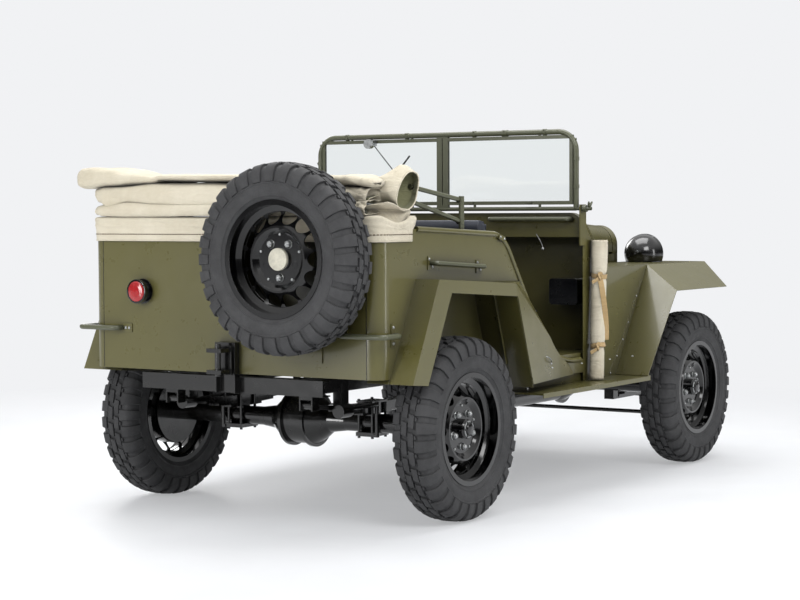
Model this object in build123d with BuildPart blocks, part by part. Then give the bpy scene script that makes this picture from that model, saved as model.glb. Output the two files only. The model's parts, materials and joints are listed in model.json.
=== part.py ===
from build123d import *
import math
import os

# Open four-wheel-drive field car with a folded canvas top and a spare wheel on its rear panel.
# Millimetres. +X is forward, +Y is the car's left and +Z is up. The origin is on the ground,
# midway between the bumper and the spare tyre, on the car's centre line.

os.makedirs("parts", exist_ok=True)

# ---- driving dimensions ----
wheelbase = 2100.0
track = 1446.0
rear_axle_x = -957.0
tyre_radius = 361.0
tyre_half_width = 86.0
lug_count = 32
lug_rise = 11.0
lug_half_length = 23.0
lug_gap = 4.0
front_end_x = 1675.0
body_half_width = 700.0
overall_half_width = 845.0
sheet = 3.0
joint_gap = 1.0
moving_gap = 6.0

front_axle_x = rear_axle_x + wheelbase
axle_z = tyre_radius
wheel_y = track / 2

# ladder frame
rail_outer_y = 355.0
rail_flange = 45.0
rail_web = 5.0
frame_top_z = 570.0
frame_depth = 62.0
frame_rear_x = -1457.0
crossmember_width = 50.0
rear_crossmember_half = 440.0
bumper_depth = 60.0
bumper_height = 90.0
bumper_half_width = 600.0
frame_bottom_z = frame_top_z - frame_depth
frame_front_x = front_end_x - bumper_depth

# wheels
bead_radius = 206.0
flange_radius = 221.0
rim_half_width = 70.5
flange_thickness = 4.5
rim_thickness = 5.0
well_radius = 184.0
well_half_width = 20.0
well_slope = 10.0
disc_thickness = 5.0
disc_face = 24.0
disc_ring_radius = 120.0
disc_ring_height = 18.0
vent_count = 14
vent_radius = 31.0
vent_centre = 163.0
hub_radius = 38.0
drum_radius = 140.0
drum_wall = 8.0
drum_edge = -42.0
spindle_radius = 20.0

# axles and steering
tube_radius = 38.0
ball_radius = 68.0
kingpin_y = 590.0
cup_wall = 12.0
backplate_radius = 136.0
backplate_thickness = 4.0
banjo_radius = 100.0
banjo_flange = 112.0
banjo_half = 62.0
steer_arm = 165.0
steer_arm_z = 270.0
tie_rod_z = 247.0
pin_radius = 8.0

# springs
spring_y = 328.0
spring_width = 50.0
leaf = 9.0
rear_leaves = 5
rear_spring_reach = 430.0
rear_spring_rise = 28.0
hanger_half = 24.0
front_leaves = 6
front_upper_z = 430.0
front_lower_z = 283.0
front_clamp_setback = 152.0
front_clamp_length = 100.0
front_clamp_x = frame_front_x - front_clamp_setback
pinion_reach = 210.0
rear_eye_z = axle_z + tube_radius + rear_leaves * leaf - leaf / 2 + rear_spring_rise

# body
body_rear_x = -1457.0
body_corner = 60.0
body_bottom_z = 582.0
door_bottom_z = 558.0
sill_bottom_z = 500.0
side_top_rear_z = 1150.0
side_top_front_z = 1110.0
door_top_x = -556.0
door_low_x = -149.0
door_top_bend = 178.0
door_low_bend = 415.0
post_rear_x = 143.0
post_front_x = 178.0
bead_tube = 11.0
floor_z = 575.0
cowl_top_z = 1195.0
firewall_x = 300.0
cowl_shoulder = 70.0
cowl_front_shoulder = 200.0

# fenders and running boards
rear_fender_reach = 105.0
rear_fender_y = body_half_width + rear_fender_reach
arch_seam_x = -632.0
wheel_box_gap = 37.0
wheel_box_y = wheel_y - tyre_half_width - wheel_box_gap
board_top_z = 463.0
board_lip = 20.0
front_fender_width = 195.0
front_fender_seam_y = overall_half_width - front_fender_width
front_fender_z = 950.0
front_fender_edge_z = 836.0
front_fender_foot_x = 487.0
front_fender_knee_x = 878.0
front_fender_tip_x = front_end_x - 150
front_fender_tip_outer_x = front_fender_tip_x - 174

# hood and radiator
hood_front_x = 1190.0
hood_front_half = 313.0
hood_rear_half = 430.0
hood_front_top = 1130.0
hood_rear_top = 1175.0
hood_low_z = 1000.0
hood_corner = 95.0
shell_depth = 50.0
shell_low_z = 620.0

# windscreen
screen_x = 120.0
screen_half = body_half_width - 10
screen_base_z = 1213.0
screen_top_z = 1560.0
screen_tube = 12.0
screen_rail = 9.0
screen_gap = 2.0
screen_corner = 85.0

# spare wheel
spare_standoff = 132.0
spare_x = body_rear_x - spare_standoff
spare_y = -361.7
spare_z = 1031.0

# driver's controls
driver_y = 380.0
wheel_centre = (-90.0, driver_y, 1075.0)
column_tilt = 40.0
steering_wheel_radius = 205.0
column_length = 770.0
dash_low_z = 1089.0
lean = (math.cos(math.radians(column_tilt)), math.sin(math.radians(column_tilt)))


def on_column(distance):
    """A point on the steering column, measured down from the steering wheel's centre."""
    x, y, z = wheel_centre
    return (x + distance * lean[0], y, z - distance * lean[1])


column_high = on_column(45)
column_low = on_column(column_length)


# ---- drawing helpers ----
def side_plane(y):
    """A plane seen from the car's right: x runs forward and y runs up."""
    return Plane(origin=(0, y, 0), x_dir=(1, 0, 0), z_dir=(0, -1, 0))


def cross_plane(x):
    """A plane across the car: x runs to the left and y runs up."""
    return Plane(origin=(x, 0, 0), x_dir=(0, 1, 0), z_dir=(1, 0, 0))


def block(x, y, z, mode=Mode.ADD):
    """A block between two values on each axis."""
    with Locations(((x[0] + x[1]) / 2, (y[0] + y[1]) / 2, (z[0] + z[1]) / 2)):
        Box(x[1] - x[0], y[1] - y[0], z[1] - z[0], mode=mode)


def plate(plane, points, thickness, mode=Mode.ADD):
    """A flat plate with a straight-edged outline, thickened along the plane's normal."""
    with BuildSketch(plane) as outline:
        with BuildLine():
            Polyline(*points, close=True)
        make_face()
    extrude(outline.sketch, amount=thickness, mode=mode)


def bar(start, end, radius, mode=Mode.ADD):
    """A round bar between two points."""
    axis = Vector(*end) - Vector(*start)
    with BuildSketch(Plane(origin=start, z_dir=axis)) as section:
        Circle(radius)
    extrude(section.sketch, amount=axis.length, mode=mode)


def bent_tube(points, bend, radius):
    """A round tube along straight runs joined by arcs."""
    with BuildLine(mode=Mode.PRIVATE) as route:
        FilletPolyline(*points, radius=bend)
    with BuildSketch(Plane(origin=points[0], z_dir=route.line % 0)) as section:
        Circle(radius)
    sweep(section.sketch, path=route.line)


def turned(plane, points, mode=Mode.ADD):
    """A solid turned about the plane's y axis from (radius, place along the axis) points."""
    with BuildSketch(plane) as profile:
        with BuildLine():
            Polyline(*points, close=True)
        make_face()
    revolve(profile.sketch, axis=Axis(plane.origin, plane.y_dir), mode=mode)


def across(x, y, z, outward=1):
    """A plane whose y axis points out of the car's side from a given centre."""
    return Plane(origin=(x, y, z), x_dir=(outward, 0, 0), z_dir=(0, 0, 1))


def save(piece, name):
    """Label a finished piece and write it."""
    piece.part.label = name
    export_step(piece.part, f"parts/{name}.step")


# ---- wheels, each about the Y axis with its outer side toward +Y ----
def rim_points():
    """Section of the drop-centre rim as (radius, place across the rim)."""
    inner = bead_radius - rim_thickness
    seat = well_half_width + well_slope
    well = well_radius - rim_thickness
    lip = rim_half_width - flange_thickness
    outer_side = [
        (flange_radius, rim_half_width),
        (flange_radius, lip),
        (bead_radius, lip),
        (bead_radius, seat),
        (well_radius, well_half_width),
    ]
    hub_side = [
        (inner, rim_half_width),
        (inner, seat + rim_thickness / 2),
        (well, well_half_width + rim_thickness / 2),
    ]
    mirrored_outer = [(r, -w) for r, w in reversed(outer_side)]
    mirrored_hub = [(r, -w) for r, w in hub_side]
    return outer_side + mirrored_outer + mirrored_hub + list(reversed(hub_side))


def disc_points():
    """Section of the pressed wheel disc, from the rim to the centre."""
    well = well_radius - rim_thickness
    ring = disc_face + disc_ring_height
    face = [
        (well, disc_face - 18),
        (well - 12, disc_face - 18),
        (disc_ring_radius + 14, ring - 8),
        (disc_ring_radius + 4, ring),
        (disc_ring_radius - 4, ring),
        (disc_ring_radius - 14, ring - 8),
        (disc_ring_radius - 24, disc_face),
        (0, disc_face),
    ]
    back = [(r, w - disc_thickness) for r, w in reversed(face)]
    return face + back


def tyre_half_points():
    """Outer half of the tyre's section between its lugs: bead, sidewall, shoulder and crown."""
    crown = tyre_radius - lug_rise
    return [
        (bead_radius, 44),
        (bead_radius, rim_half_width - flange_thickness),
        (flange_radius + 2, rim_half_width - flange_thickness),
        (flange_radius + 22, tyre_half_width - 10),
        (flange_radius + 50, tyre_half_width),
        (crown - 52, tyre_half_width - 3),
        (crown - 26, tyre_half_width - 9),
        (crown - 8, tyre_half_width - 24),
        (crown, tyre_half_width - 40),
    ]


def lug_points(side):
    """Section of one lug across the tread, from beside the middle line round the shoulder."""
    crown = tyre_radius - lug_rise
    top = math.sqrt(tyre_radius**2 - lug_half_length**2)
    points = [
        (crown - 6, lug_gap),
        (top, lug_gap),
        (top, tyre_half_width - 26),
        (top - 13, tyre_half_width - 9),
        (crown - 28, tyre_half_width - 2.5),
        (crown - 50, tyre_half_width - 4),
        (crown - 34, tyre_half_width - 16),
        (crown - 14, tyre_half_width - 36),
    ]
    return [(r, side * w) for r, w in points]


def lug_row(side, stagger):
    """The lugs of one side; the first stands with its edge on the tyre's lowest line."""
    with BuildPart(mode=Mode.PRIVATE) as lug:
        with BuildSketch(Plane.XY) as section:
            with BuildLine():
                Polyline(*lug_points(side), close=True)
            make_face()
        extrude(section.sketch, amount=lug_half_length, both=True)
    edge = math.degrees(math.asin(lug_half_length / tyre_radius))
    pitch = 360 / lug_count
    return [Location((0, 0, 0), (0, edge + (k + stagger) * pitch, 0)) * lug.part for k in range(lug_count)]


def tyre_cavity_half():
    """Inner half of the tyre's section, from the crown to the bead."""
    return [
        (tyre_radius - 28, tyre_half_width - 34),
        (tyre_radius - 60, tyre_half_width - 14),
        (flange_radius + 40, tyre_half_width - 14),
        (flange_radius - 4, 50),
    ]


with BuildPart() as wheel_disc:
    turned(Plane.XY, rim_points())
    turned(Plane.XY, disc_points())
    with BuildSketch(Plane.XZ.offset(-disc_face - disc_ring_height)) as vents:
        with PolarLocations(vent_centre, vent_count):
            Circle(vent_radius)
        Circle(well_radius - rim_thickness - 2, mode=Mode.INTERSECT)
    extrude(vents.sketch, amount=disc_ring_height + 2 * disc_face, mode=Mode.SUBTRACT)

with BuildPart() as road_wheel:
    add(wheel_disc.part)
    drum_face = disc_face - disc_thickness
    turned(
        Plane.XY,
        [
            (0, drum_face),
            (drum_radius - drum_wall, drum_face),
            (drum_radius, drum_face - drum_wall),
            (drum_radius, drum_edge),
            (drum_radius - drum_wall, drum_edge),
            (drum_radius - drum_wall, drum_face - drum_wall),
            (hub_radius, drum_face - drum_wall),
            (hub_radius, -30),
            (spindle_radius + 0.5, -30),
            (spindle_radius + 0.5, 14),
            (0, 14),
        ],
    )
    turned(
        Plane.XY,
        [
            (0, disc_face),
            (hub_radius, disc_face),
            (hub_radius, disc_face + 22),
            (hub_radius - 8, disc_face + 30),
            (0, disc_face + 32),
        ],
    )

with BuildPart() as spare_disc:
    add(wheel_disc.part)
    with BuildSketch(Plane.XZ.offset(-disc_face - 1)) as bore:
        Circle(hub_radius)
    extrude(bore.sketch, amount=disc_thickness + 2, mode=Mode.SUBTRACT)

with BuildPart() as tyre:
    outer = tyre_half_points()
    cavity = tyre_cavity_half()
    section = outer + [(r, -w) for r, w in reversed(outer)]
    section += [(r, -w) for r, w in reversed(cavity)] + cavity
    turned(Plane.XY, section)
    add(lug_row(1, 0) + lug_row(-1, 0.5))

corners = {
    "front_left": (front_axle_x, wheel_y, 0),
    "front_right": (front_axle_x, -wheel_y, 180),
    "rear_left": (rear_axle_x, wheel_y, 0),
    "rear_right": (rear_axle_x, -wheel_y, 180),
}
for corner, (x, y, turn) in corners.items():
    with BuildPart() as rim_at_corner:
        with Locations(Location((x, y, axle_z), (0, 0, turn))):
            add(road_wheel.part)
    save(rim_at_corner, f"rim_{corner}")
    with BuildPart() as tyre_at_corner:
        with Locations(Location((x, y, axle_z), (0, 0, turn))):
            add(tyre.part)
    save(tyre_at_corner, f"tyre_{corner}")

spare_place = Location((spare_x, spare_y, spare_z), (0, 0, 90))
with BuildPart() as rim_spare:
    with Locations(spare_place):
        add(spare_disc.part)
save(rim_spare, "rim_spare")
with BuildPart() as tyre_spare:
    with Locations(spare_place):
        add(tyre.part)
save(tyre_spare, "tyre_spare")


# ---- ladder frame ----
def rail_section(x0, x1):
    """One channel-section side rail, open toward the centre line."""
    inner = rail_outer_y - rail_flange
    block((x0, x1), (rail_outer_y - rail_web, rail_outer_y), (frame_bottom_z, frame_top_z))
    block((x0, x1), (inner, rail_outer_y), (frame_top_z - rail_web, frame_top_z))
    block((x0, x1), (inner, rail_outer_y), (frame_bottom_z, frame_bottom_z + rail_web))


def cheeks(x, side, z):
    """Two plates that stand against the sides of a spring."""
    inner = spring_width / 2
    for y in (side * spring_y - inner - 6, side * spring_y + inner):
        block(x, (y, y + 6), z)


def rear_hangers(side):
    """Brackets under the rail that carry the two eyes of a rear spring."""
    half = spring_width / 2 + 6
    for x in (rear_axle_x - rear_spring_reach, rear_axle_x + rear_spring_reach):
        ears = (x - hanger_half, x + hanger_half)
        cheeks(ears, side, (rear_eye_z - 20, frame_bottom_z))
        y = side * spring_y
        block(ears, (y - half, y + half), (rear_eye_z + 22, frame_bottom_z))


def front_spring_box(side):
    """The box under the rail that grips an upper and a lower front spring."""
    x = (front_clamp_x, front_clamp_x + front_clamp_length)
    half = spring_width / 2
    y = (side * spring_y - half, side * spring_y + half)
    stack = front_leaves * leaf
    cheeks(x, side, (front_lower_z - 12, frame_bottom_z))
    block(x, y, (front_upper_z + stack, frame_bottom_z))
    block(x, y, (front_lower_z + stack, front_upper_z))
    block(x, y, (front_lower_z - 12, front_lower_z))


crossmembers = [-700.0, -200.0, frame_front_x - 195]
with BuildPart() as chassis_frame:
    rail_section(frame_rear_x + crossmember_width, frame_front_x)
    mirror(about=Plane.XZ)
    for x in crossmembers:
        block(
            (x - crossmember_width / 2, x + crossmember_width / 2),
            (rail_web - rail_outer_y, rail_outer_y - rail_web),
            (frame_bottom_z + rail_web, frame_bottom_z + 2 * rail_web),
        )
        block(
            (x - rail_web / 2, x + rail_web / 2),
            (rail_web - rail_outer_y, rail_outer_y - rail_web),
            (frame_bottom_z + rail_web, frame_top_z - rail_web),
        )
    rear_x = (frame_rear_x, frame_rear_x + crossmember_width)
    rear_y = (-rear_crossmember_half, rear_crossmember_half)
    block((rear_x[0], rear_x[0] + rail_web), rear_y, (frame_bottom_z, frame_top_z))
    block(rear_x, rear_y, (frame_top_z - rail_web, frame_top_z))
    block(rear_x, rear_y, (frame_bottom_z, frame_bottom_z + rail_web))
    bolster_x = (hood_front_x + 10, hood_front_x + 46)
    block(bolster_x, (-rail_outer_y, rail_outer_y), (frame_top_z, shell_low_z))
    for side in (-1, 1):
        rear_hangers(side)
        front_spring_box(side)
save(chassis_frame, "chassis_frame")

with BuildPart() as front_bumper:
    bumper_z = (frame_top_z - bumper_height + 15, frame_top_z + 15)
    span = (-bumper_half_width, bumper_half_width)
    block((front_end_x - rail_web, front_end_x), span, bumper_z)
    block((frame_front_x, front_end_x), span, (bumper_z[1] - rail_web, bumper_z[1]))
    block((frame_front_x, front_end_x), span, (bumper_z[0], bumper_z[0] + rail_web))
    for y in (-rail_outer_y, rail_outer_y - rail_web):
        block((frame_front_x, front_end_x), (y, y + rail_web), bumper_z)
save(front_bumper, "front_bumper")

hitch_half = 48.0
hitch_top_z = frame_top_z + 134
hitch_depth = 30.0
with BuildPart() as tow_hitch:
    back_x = frame_rear_x
    block(
        (back_x - hitch_depth, back_x),
        (-hitch_half, hitch_half),
        (frame_bottom_z, hitch_top_z),
    )
    block(
        (back_x - hitch_depth - 1, back_x - rail_web),
        (rail_web - hitch_half, hitch_half - rail_web),
        (frame_bottom_z - 1, hitch_top_z - 40),
        mode=Mode.SUBTRACT,
    )
    jaw_x = (back_x - hitch_depth - 70, back_x - hitch_depth)
    for z in (frame_top_z + 15, frame_top_z + 98):
        block(jaw_x, (-35, 35), (z, z + 16))
    block((jaw_x[1] - 12, jaw_x[1]), (-40, 40), (frame_top_z + 10, frame_top_z + 120))
    bar((jaw_x[0] + 28, 0, frame_top_z + 5), (jaw_x[0] + 28, 0, frame_top_z + 130), 11)
save(tow_hitch, "tow_hitch")


# ---- axles ----
def banjo(x, half_span):
    """The axle housing: two tubes flaring into bolted bells round the final drive."""
    half = [
        (0, 0),
        (banjo_radius, 0),
        (banjo_radius, banjo_half - 14),
        (banjo_flange, banjo_half - 14),
        (banjo_flange, banjo_half),
        (banjo_radius, banjo_half),
        (banjo_radius - 25, banjo_half + 40),
        (tube_radius + 10, banjo_half + 75),
        (tube_radius, banjo_half + 150),
        (tube_radius, half_span),
        (0, half_span),
    ]
    turned(across(x, 0, axle_z), half)
    mirror(about=Plane.XZ)


def spring_seat(x, z0, z1):
    """A pad on each end of an axle tube that a spring lies against."""
    for side in (-1, 1):
        y = side * spring_y
        block((x - 24, x + 24), (y - spring_width / 2, y + spring_width / 2), (z0, z1))


def spring_clamp(x):
    """The plate and U-bolts that hold each rear spring to the axle tube."""
    tube_low = axle_z - tube_radius
    pack_top = axle_z + tube_radius + rear_leaves * leaf + joint_gap
    for side in (-1, 1):
        y = side * spring_y
        block((x - 56, x + 56), (y - 42, y + 42), (tube_low - 12, tube_low + 4))
        block((x - 56, x + 56), (y - 38, y + 38), (pack_top, pack_top + 8))
        for dx in (-47, 47):
            for dy in (-32, 32):
                bar((x + dx, y + dy, tube_low - 20), (x + dx, y + dy, pack_top + 14), 6)


wheel_back = wheel_y + drum_edge - moving_gap
with BuildPart() as rear_axle:
    banjo(rear_axle_x, wheel_back - backplate_thickness)
    bar((rear_axle_x, 0, axle_z), (rear_axle_x + pinion_reach, 0, axle_z), 46)
    spring_seat(rear_axle_x, axle_z + tube_radius - 12, axle_z + tube_radius)
    spring_clamp(rear_axle_x)
    turned(
        across(rear_axle_x, 0, axle_z),
        [
            (0, wheel_back - backplate_thickness),
            (backplate_radius, wheel_back - backplate_thickness),
            (backplate_radius, wheel_back),
            (spindle_radius, wheel_back),
            (spindle_radius, wheel_y + 12),
            (0, wheel_y + 12),
        ],
    )
    turned(
        across(rear_axle_x, 0, axle_z),
        [
            (0, backplate_thickness - wheel_back),
            (backplate_radius, backplate_thickness - wheel_back),
            (backplate_radius, -wheel_back),
            (spindle_radius, -wheel_back),
            (spindle_radius, -wheel_y - 12),
            (0, -wheel_y - 12),
        ],
    )
save(rear_axle, "rear_axle")

with BuildPart() as front_axle:
    banjo(front_axle_x, kingpin_y)
    bar((front_axle_x, 0, axle_z), (front_axle_x - pinion_reach, 0, axle_z), 46)
    spring_seat(front_axle_x, axle_z, front_upper_z)
    spring_seat(front_axle_x, front_lower_z + leaf, axle_z)
    with Locations((front_axle_x, kingpin_y, axle_z), (front_axle_x, -kingpin_y, axle_z)):
        Sphere(ball_radius)
save(front_axle, "front_axle")


def knuckle(side):
    """A steering knuckle: a cup round the axle's ball, the brake plate, the stub and the arm."""
    outward = across(front_axle_x, side * kingpin_y, axle_z, side)
    hollow = ball_radius + 2
    shell = hollow + cup_wall
    lip_y = -22.0
    with BuildSketch(outward) as cup:
        with BuildLine():
            edge_in = math.sqrt(hollow**2 - lip_y**2)
            edge_out = math.sqrt(shell**2 - lip_y**2)
            Line((0, hollow), (0, shell))
            RadiusArc((0, shell), (shell, 0), shell)
            RadiusArc((shell, 0), (edge_out, lip_y), shell)
            Line((edge_out, lip_y), (edge_in, lip_y))
            RadiusArc((edge_in, lip_y), (hollow, 0), -hollow)
            RadiusArc((hollow, 0), (0, hollow), -hollow)
        make_face()
    revolve(cup.sketch, axis=Axis(outward.origin, outward.y_dir))
    plate_in = wheel_back - backplate_thickness - kingpin_y
    plate_out = wheel_back - kingpin_y
    stub_end = wheel_y + 12 - kingpin_y
    turned(
        outward,
        [
            (0, hollow + 4),
            (58, 58),
            (58, plate_in),
            (backplate_radius, plate_in),
            (backplate_radius, plate_out),
            (spindle_radius, plate_out),
            (spindle_radius, stub_end),
            (0, stub_end),
        ],
    )
    for z in (axle_z + shell - 4, axle_z - shell - 16):
        bar((front_axle_x, side * kingpin_y, z), (front_axle_x, side * kingpin_y, z + 20), 24)
    foot = (front_axle_x, side * kingpin_y, steer_arm_z)
    tip = (front_axle_x - steer_arm, side * kingpin_y, steer_arm_z)
    bar(foot, tip, 10)
    bar((tip[0], tip[1], tip[2] - 10), (tip[0], tip[1], tip[2] + 10), 18)
    bar((tip[0], tip[1], tie_rod_z - 12), (tip[0], tip[1], tip[2]), pin_radius)


for name, side in (("left", 1), ("right", -1)):
    with BuildPart() as knuckle_at_side:
        knuckle(side)
    save(knuckle_at_side, f"knuckle_{name}")

with BuildPart() as tie_rod:
    rod_x = front_axle_x - steer_arm
    bar((rod_x, -kingpin_y, tie_rod_z), (rod_x, kingpin_y, tie_rod_z), 9)
    for y in (-kingpin_y, kingpin_y):
        bar((rod_x, y, tie_rod_z - 10), (rod_x, y, tie_rod_z + 8), 20)
    for y in (-kingpin_y, kingpin_y):
        bar((rod_x, y, tie_rod_z - 11), (rod_x, y, tie_rod_z + 9), pin_radius + 1, Mode.SUBTRACT)
save(tie_rod, "tie_rod")


# ---- springs and dampers ----
with BuildPart() as rear_springs:
    bend = (rear_spring_reach**2 + rear_spring_rise**2) / (2 * rear_spring_rise)
    top_z = axle_z + tube_radius + rear_leaves * leaf
    for side in (-1, 1):
        with BuildSketch(side_plane(side * spring_y + spring_width / 2)) as leaves:
            for number in range(rear_leaves):
                reach = rear_spring_reach * (1 - 0.19 * number)
                inner = bend + number * leaf
                outer = inner + leaf
                turn = math.asin(reach / bend)
                with BuildLine():
                    ends = []
                    for radius in (inner, outer):
                        run = radius * math.sin(turn)
                        z = top_z + bend - radius * math.cos(turn)
                        low = (rear_axle_x, top_z + bend - radius)
                        ThreePointArc((rear_axle_x - run, z), low, (rear_axle_x + run, z))
                        ends.append((run, z))
                    for sign in (-1, 1):
                        Line(*[(rear_axle_x + sign * run, z) for run, z in ends])
                make_face()
            with Locations(
                (rear_axle_x - rear_spring_reach, rear_eye_z),
                (rear_axle_x + rear_spring_reach, rear_eye_z),
            ):
                Circle(15)
        extrude(leaves.sketch, amount=spring_width)
save(rear_springs, "rear_springs")

with BuildPart() as front_springs:
    clamp_end = front_clamp_x + front_clamp_length
    for side in (-1, 1):
        y = (side * spring_y - spring_width / 2, side * spring_y + spring_width / 2)
        for base_z in (front_upper_z, front_lower_z):
            for number in range(front_leaves):
                start = front_axle_x - 24 + 62 * number
                z = base_z + number * leaf
                block((start, clamp_end), y, (z, z + leaf))
save(front_springs, "front_springs")

damper_x = -1243.0
damper_y = 386.0
damper_z = 437.0
with BuildPart() as dampers:
    bar((damper_x - 35, damper_y, damper_z), (damper_x + 35, damper_y, damper_z), 27)
    block((damper_x - 25, damper_x + 25), (rail_outer_y, damper_y + 8), (damper_z + 20, frame_top_z - 10))
    arm_end = (rear_axle_x - tube_radius - 14, damper_y, damper_z + 4)
    foot_z = axle_z - tube_radius - 12
    block((arm_end[0] - 9, arm_end[0] + 9), (spring_y + 42, damper_y), (foot_z, foot_z + 12))
    bar((damper_x + 30, damper_y, damper_z + 4), arm_end, 9)
    bar((arm_end[0], damper_y, arm_end[2] + 12), (arm_end[0], damper_y, foot_z), 9)
    mirror(about=Plane.XZ)
save(dampers, "dampers")


# ---- engine, gearbox and drive line ----
engine_x = (480.0, 1080.0)
engine_half = 150.0
engine_z = (500.0, 930.0)
gearbox_x = (60.0, 300.0)
crank_z = 590.0
transfer_x = (-100.0, 60.0)
transfer_z = (300.0, 556.0)
with BuildPart() as engine_block:
    block(engine_x, (-engine_half, engine_half), engine_z)
    rail_gap = rail_outer_y - rail_web
    mount_x = (engine_x[0] + 220, engine_x[0] + 280)
    block(mount_x, (-rail_gap, rail_gap), (frame_bottom_z + 12, frame_top_z - 12))
save(engine_block, "engine_block")

with BuildPart() as transmission:
    bar((gearbox_x[1], 0, crank_z), (engine_x[0], 0, crank_z), 88)
    block(gearbox_x, (-85, 85), (470, 672))
    block(transfer_x, (-110, 110), transfer_z)
    bar((gearbox_x[0], 0, axle_z), (gearbox_x[0] + 30, 0, axle_z), 34)
save(transmission, "transmission")


def prop_shaft(x0, x1):
    """A tubular shaft with a joint at each end."""
    bar((x0, 0, axle_z), (x1, 0, axle_z), 22)
    bar((x0, 0, axle_z), (x0 + 60, 0, axle_z), 36)
    bar((x1 - 60, 0, axle_z), (x1, 0, axle_z), 36)


with BuildPart() as prop_shafts:
    prop_shaft(rear_axle_x + pinion_reach, transfer_x[0])
    prop_shaft(gearbox_x[0] + 30, front_axle_x - pinion_reach)
save(prop_shafts, "prop_shafts")

muffler_y = -470.0
muffler_z = 398.0
with BuildPart() as exhaust:
    bar((-300, muffler_y, muffler_z), (300, muffler_y, muffler_z), 44)
    bar((-480, muffler_y, muffler_z), (-300, muffler_y, muffler_z), 20)
    bar((300, muffler_y, muffler_z), (430, muffler_y, muffler_z), 20)
    bar((430, muffler_y, muffler_z), (600, -(engine_half + 20), engine_z[0] - 24), 20)
    bar((600, -(engine_half + 20), engine_z[0] - 30), (600, -(engine_half + 20), 640), 20)
    block((580, 620), (-(engine_half + 20), -engine_half), (600, 640))
    for x in (-180.0, 180.0):
        block((x - 12, x + 12), (muffler_y - 3, -rail_outer_y), (frame_bottom_z + 8, frame_bottom_z + 13))
        block((x - 12, x + 12), (muffler_y - 3, muffler_y + 3), (muffler_z + 40, frame_bottom_z + 13))
save(exhaust, "exhaust")

core_front_x = hood_front_x + 46
with BuildPart() as radiator_core:
    block((hood_front_x + 6, core_front_x), (-270, 270), (shell_low_z, 1080))
save(radiator_core, "radiator_core")


def arch_sketch(plane, half, top, low, corner):
    """The arch outline as a filled face on a plane."""
    with BuildSketch(plane) as face:
        with BuildLine():
            Polyline((half, low), (half, top - corner))
            RadiusArc((half, top - corner), (half - corner, top), -corner)
            Line((half - corner, top), (corner - half, top))
            RadiusArc((corner - half, top), (-half, top - corner), -corner)
            Polyline((-half, top - corner), (-half, low), (half, low))
        make_face()
    return face.sketch


grille_bar = 10.0
grille_pitch = 44.0
grille_count = 12
shell_wall = 8.0
with BuildPart() as radiator_shell:
    shell_front_x = hood_front_x + shell_depth
    outer_face = arch_sketch(
        cross_plane(hood_front_x), hood_front_half, hood_front_top, shell_low_z, hood_corner
    )
    extrude(outer_face, amount=shell_depth)
    inner_half = hood_front_half - shell_wall
    inner_face = arch_sketch(
        cross_plane(hood_front_x - 1),
        inner_half,
        hood_front_top - shell_wall,
        shell_low_z - 1,
        hood_corner - shell_wall,
    )
    extrude(inner_face, amount=shell_depth - 2, mode=Mode.SUBTRACT)
    opening = arch_sketch(
        cross_plane(shell_front_x - 4),
        hood_front_half - 50,
        hood_front_top - 60,
        shell_low_z + 40,
        hood_corner - 40,
    )
    extrude(opening, amount=6, mode=Mode.SUBTRACT)
    for number in range(grille_count):
        y = (number - (grille_count - 1) / 2) * grille_pitch
        reach = hood_front_top - 56 if abs(y) < hood_front_half - 110 else hood_front_top - 90
        block(
            (shell_front_x - 3, shell_front_x + 5),
            (y - grille_bar / 2, y + grille_bar / 2),
            (shell_low_z + 30, reach),
        )
save(radiator_shell, "radiator_shell")

# ---- hood ----
hood_gap = 6.0
hood_rear_x = firewall_x + sheet + hood_gap
hood_end_x = hood_front_x - hood_gap
hinge_z = hood_rear_top + sheet
hinge_radius = 5.0
hinge_y = 240.0
hood_barrels = [(-30.0, 30.0)]
cowl_barrels = [(-61.0, -31.0), (31.0, 61.0)]


def hinge_barrels(spans, radius, mode=Mode.ADD):
    """Round barrels on the hood's hinge line, one hinge on each side of the car."""
    for side in (-1, 1):
        for low, high in spans:
            y = side * hinge_y
            bar((hood_rear_x, y + low, hinge_z), (hood_rear_x, y + high, hinge_z), radius, mode)


with BuildPart() as hood:
    rear_face = arch_sketch(
        cross_plane(hood_rear_x), hood_rear_half, hood_rear_top, hood_low_z, hood_corner
    )
    front_face = arch_sketch(
        cross_plane(hood_end_x), hood_front_half, hood_front_top, hood_low_z, hood_corner
    )
    loft([rear_face, front_face], ruled=True)
    rear_hollow = arch_sketch(
        cross_plane(hood_rear_x - 0.01),
        hood_rear_half - sheet,
        hood_rear_top - sheet,
        hood_low_z - 1,
        hood_corner - sheet,
    )
    front_hollow = arch_sketch(
        cross_plane(hood_end_x + 0.01),
        hood_front_half - sheet,
        hood_front_top - sheet,
        hood_low_z - 1,
        hood_corner - sheet,
    )
    loft([rear_hollow, front_hollow], ruled=True, mode=Mode.SUBTRACT)
    hinge_barrels(cowl_barrels, hinge_radius + 2, Mode.SUBTRACT)
    hinge_barrels(hood_barrels, hinge_radius)
save(hood, "hood")


# ---- body outlines, drawn in x and z ----
def top_edge_z(x):
    """Height of the body side's sloping top edge."""
    slope = (side_top_front_z - side_top_rear_z) / (door_top_x - body_rear_x)
    return side_top_rear_z + slope * (x - body_rear_x)


def front_panel_y(x):
    """Half width of the side panel ahead of the cowl, which narrows toward the fender seam."""
    slope = (front_fender_seam_y - body_half_width) / (front_fender_knee_x - firewall_x - sheet)
    return body_half_width + slope * (x - firewall_x - sheet)


def hood_side_y(x):
    """Half width of the hood's lower edge."""
    slope = (hood_front_half - hood_rear_half) / (hood_end_x - hood_rear_x)
    return hood_rear_half + slope * (x - hood_rear_x)


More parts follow.
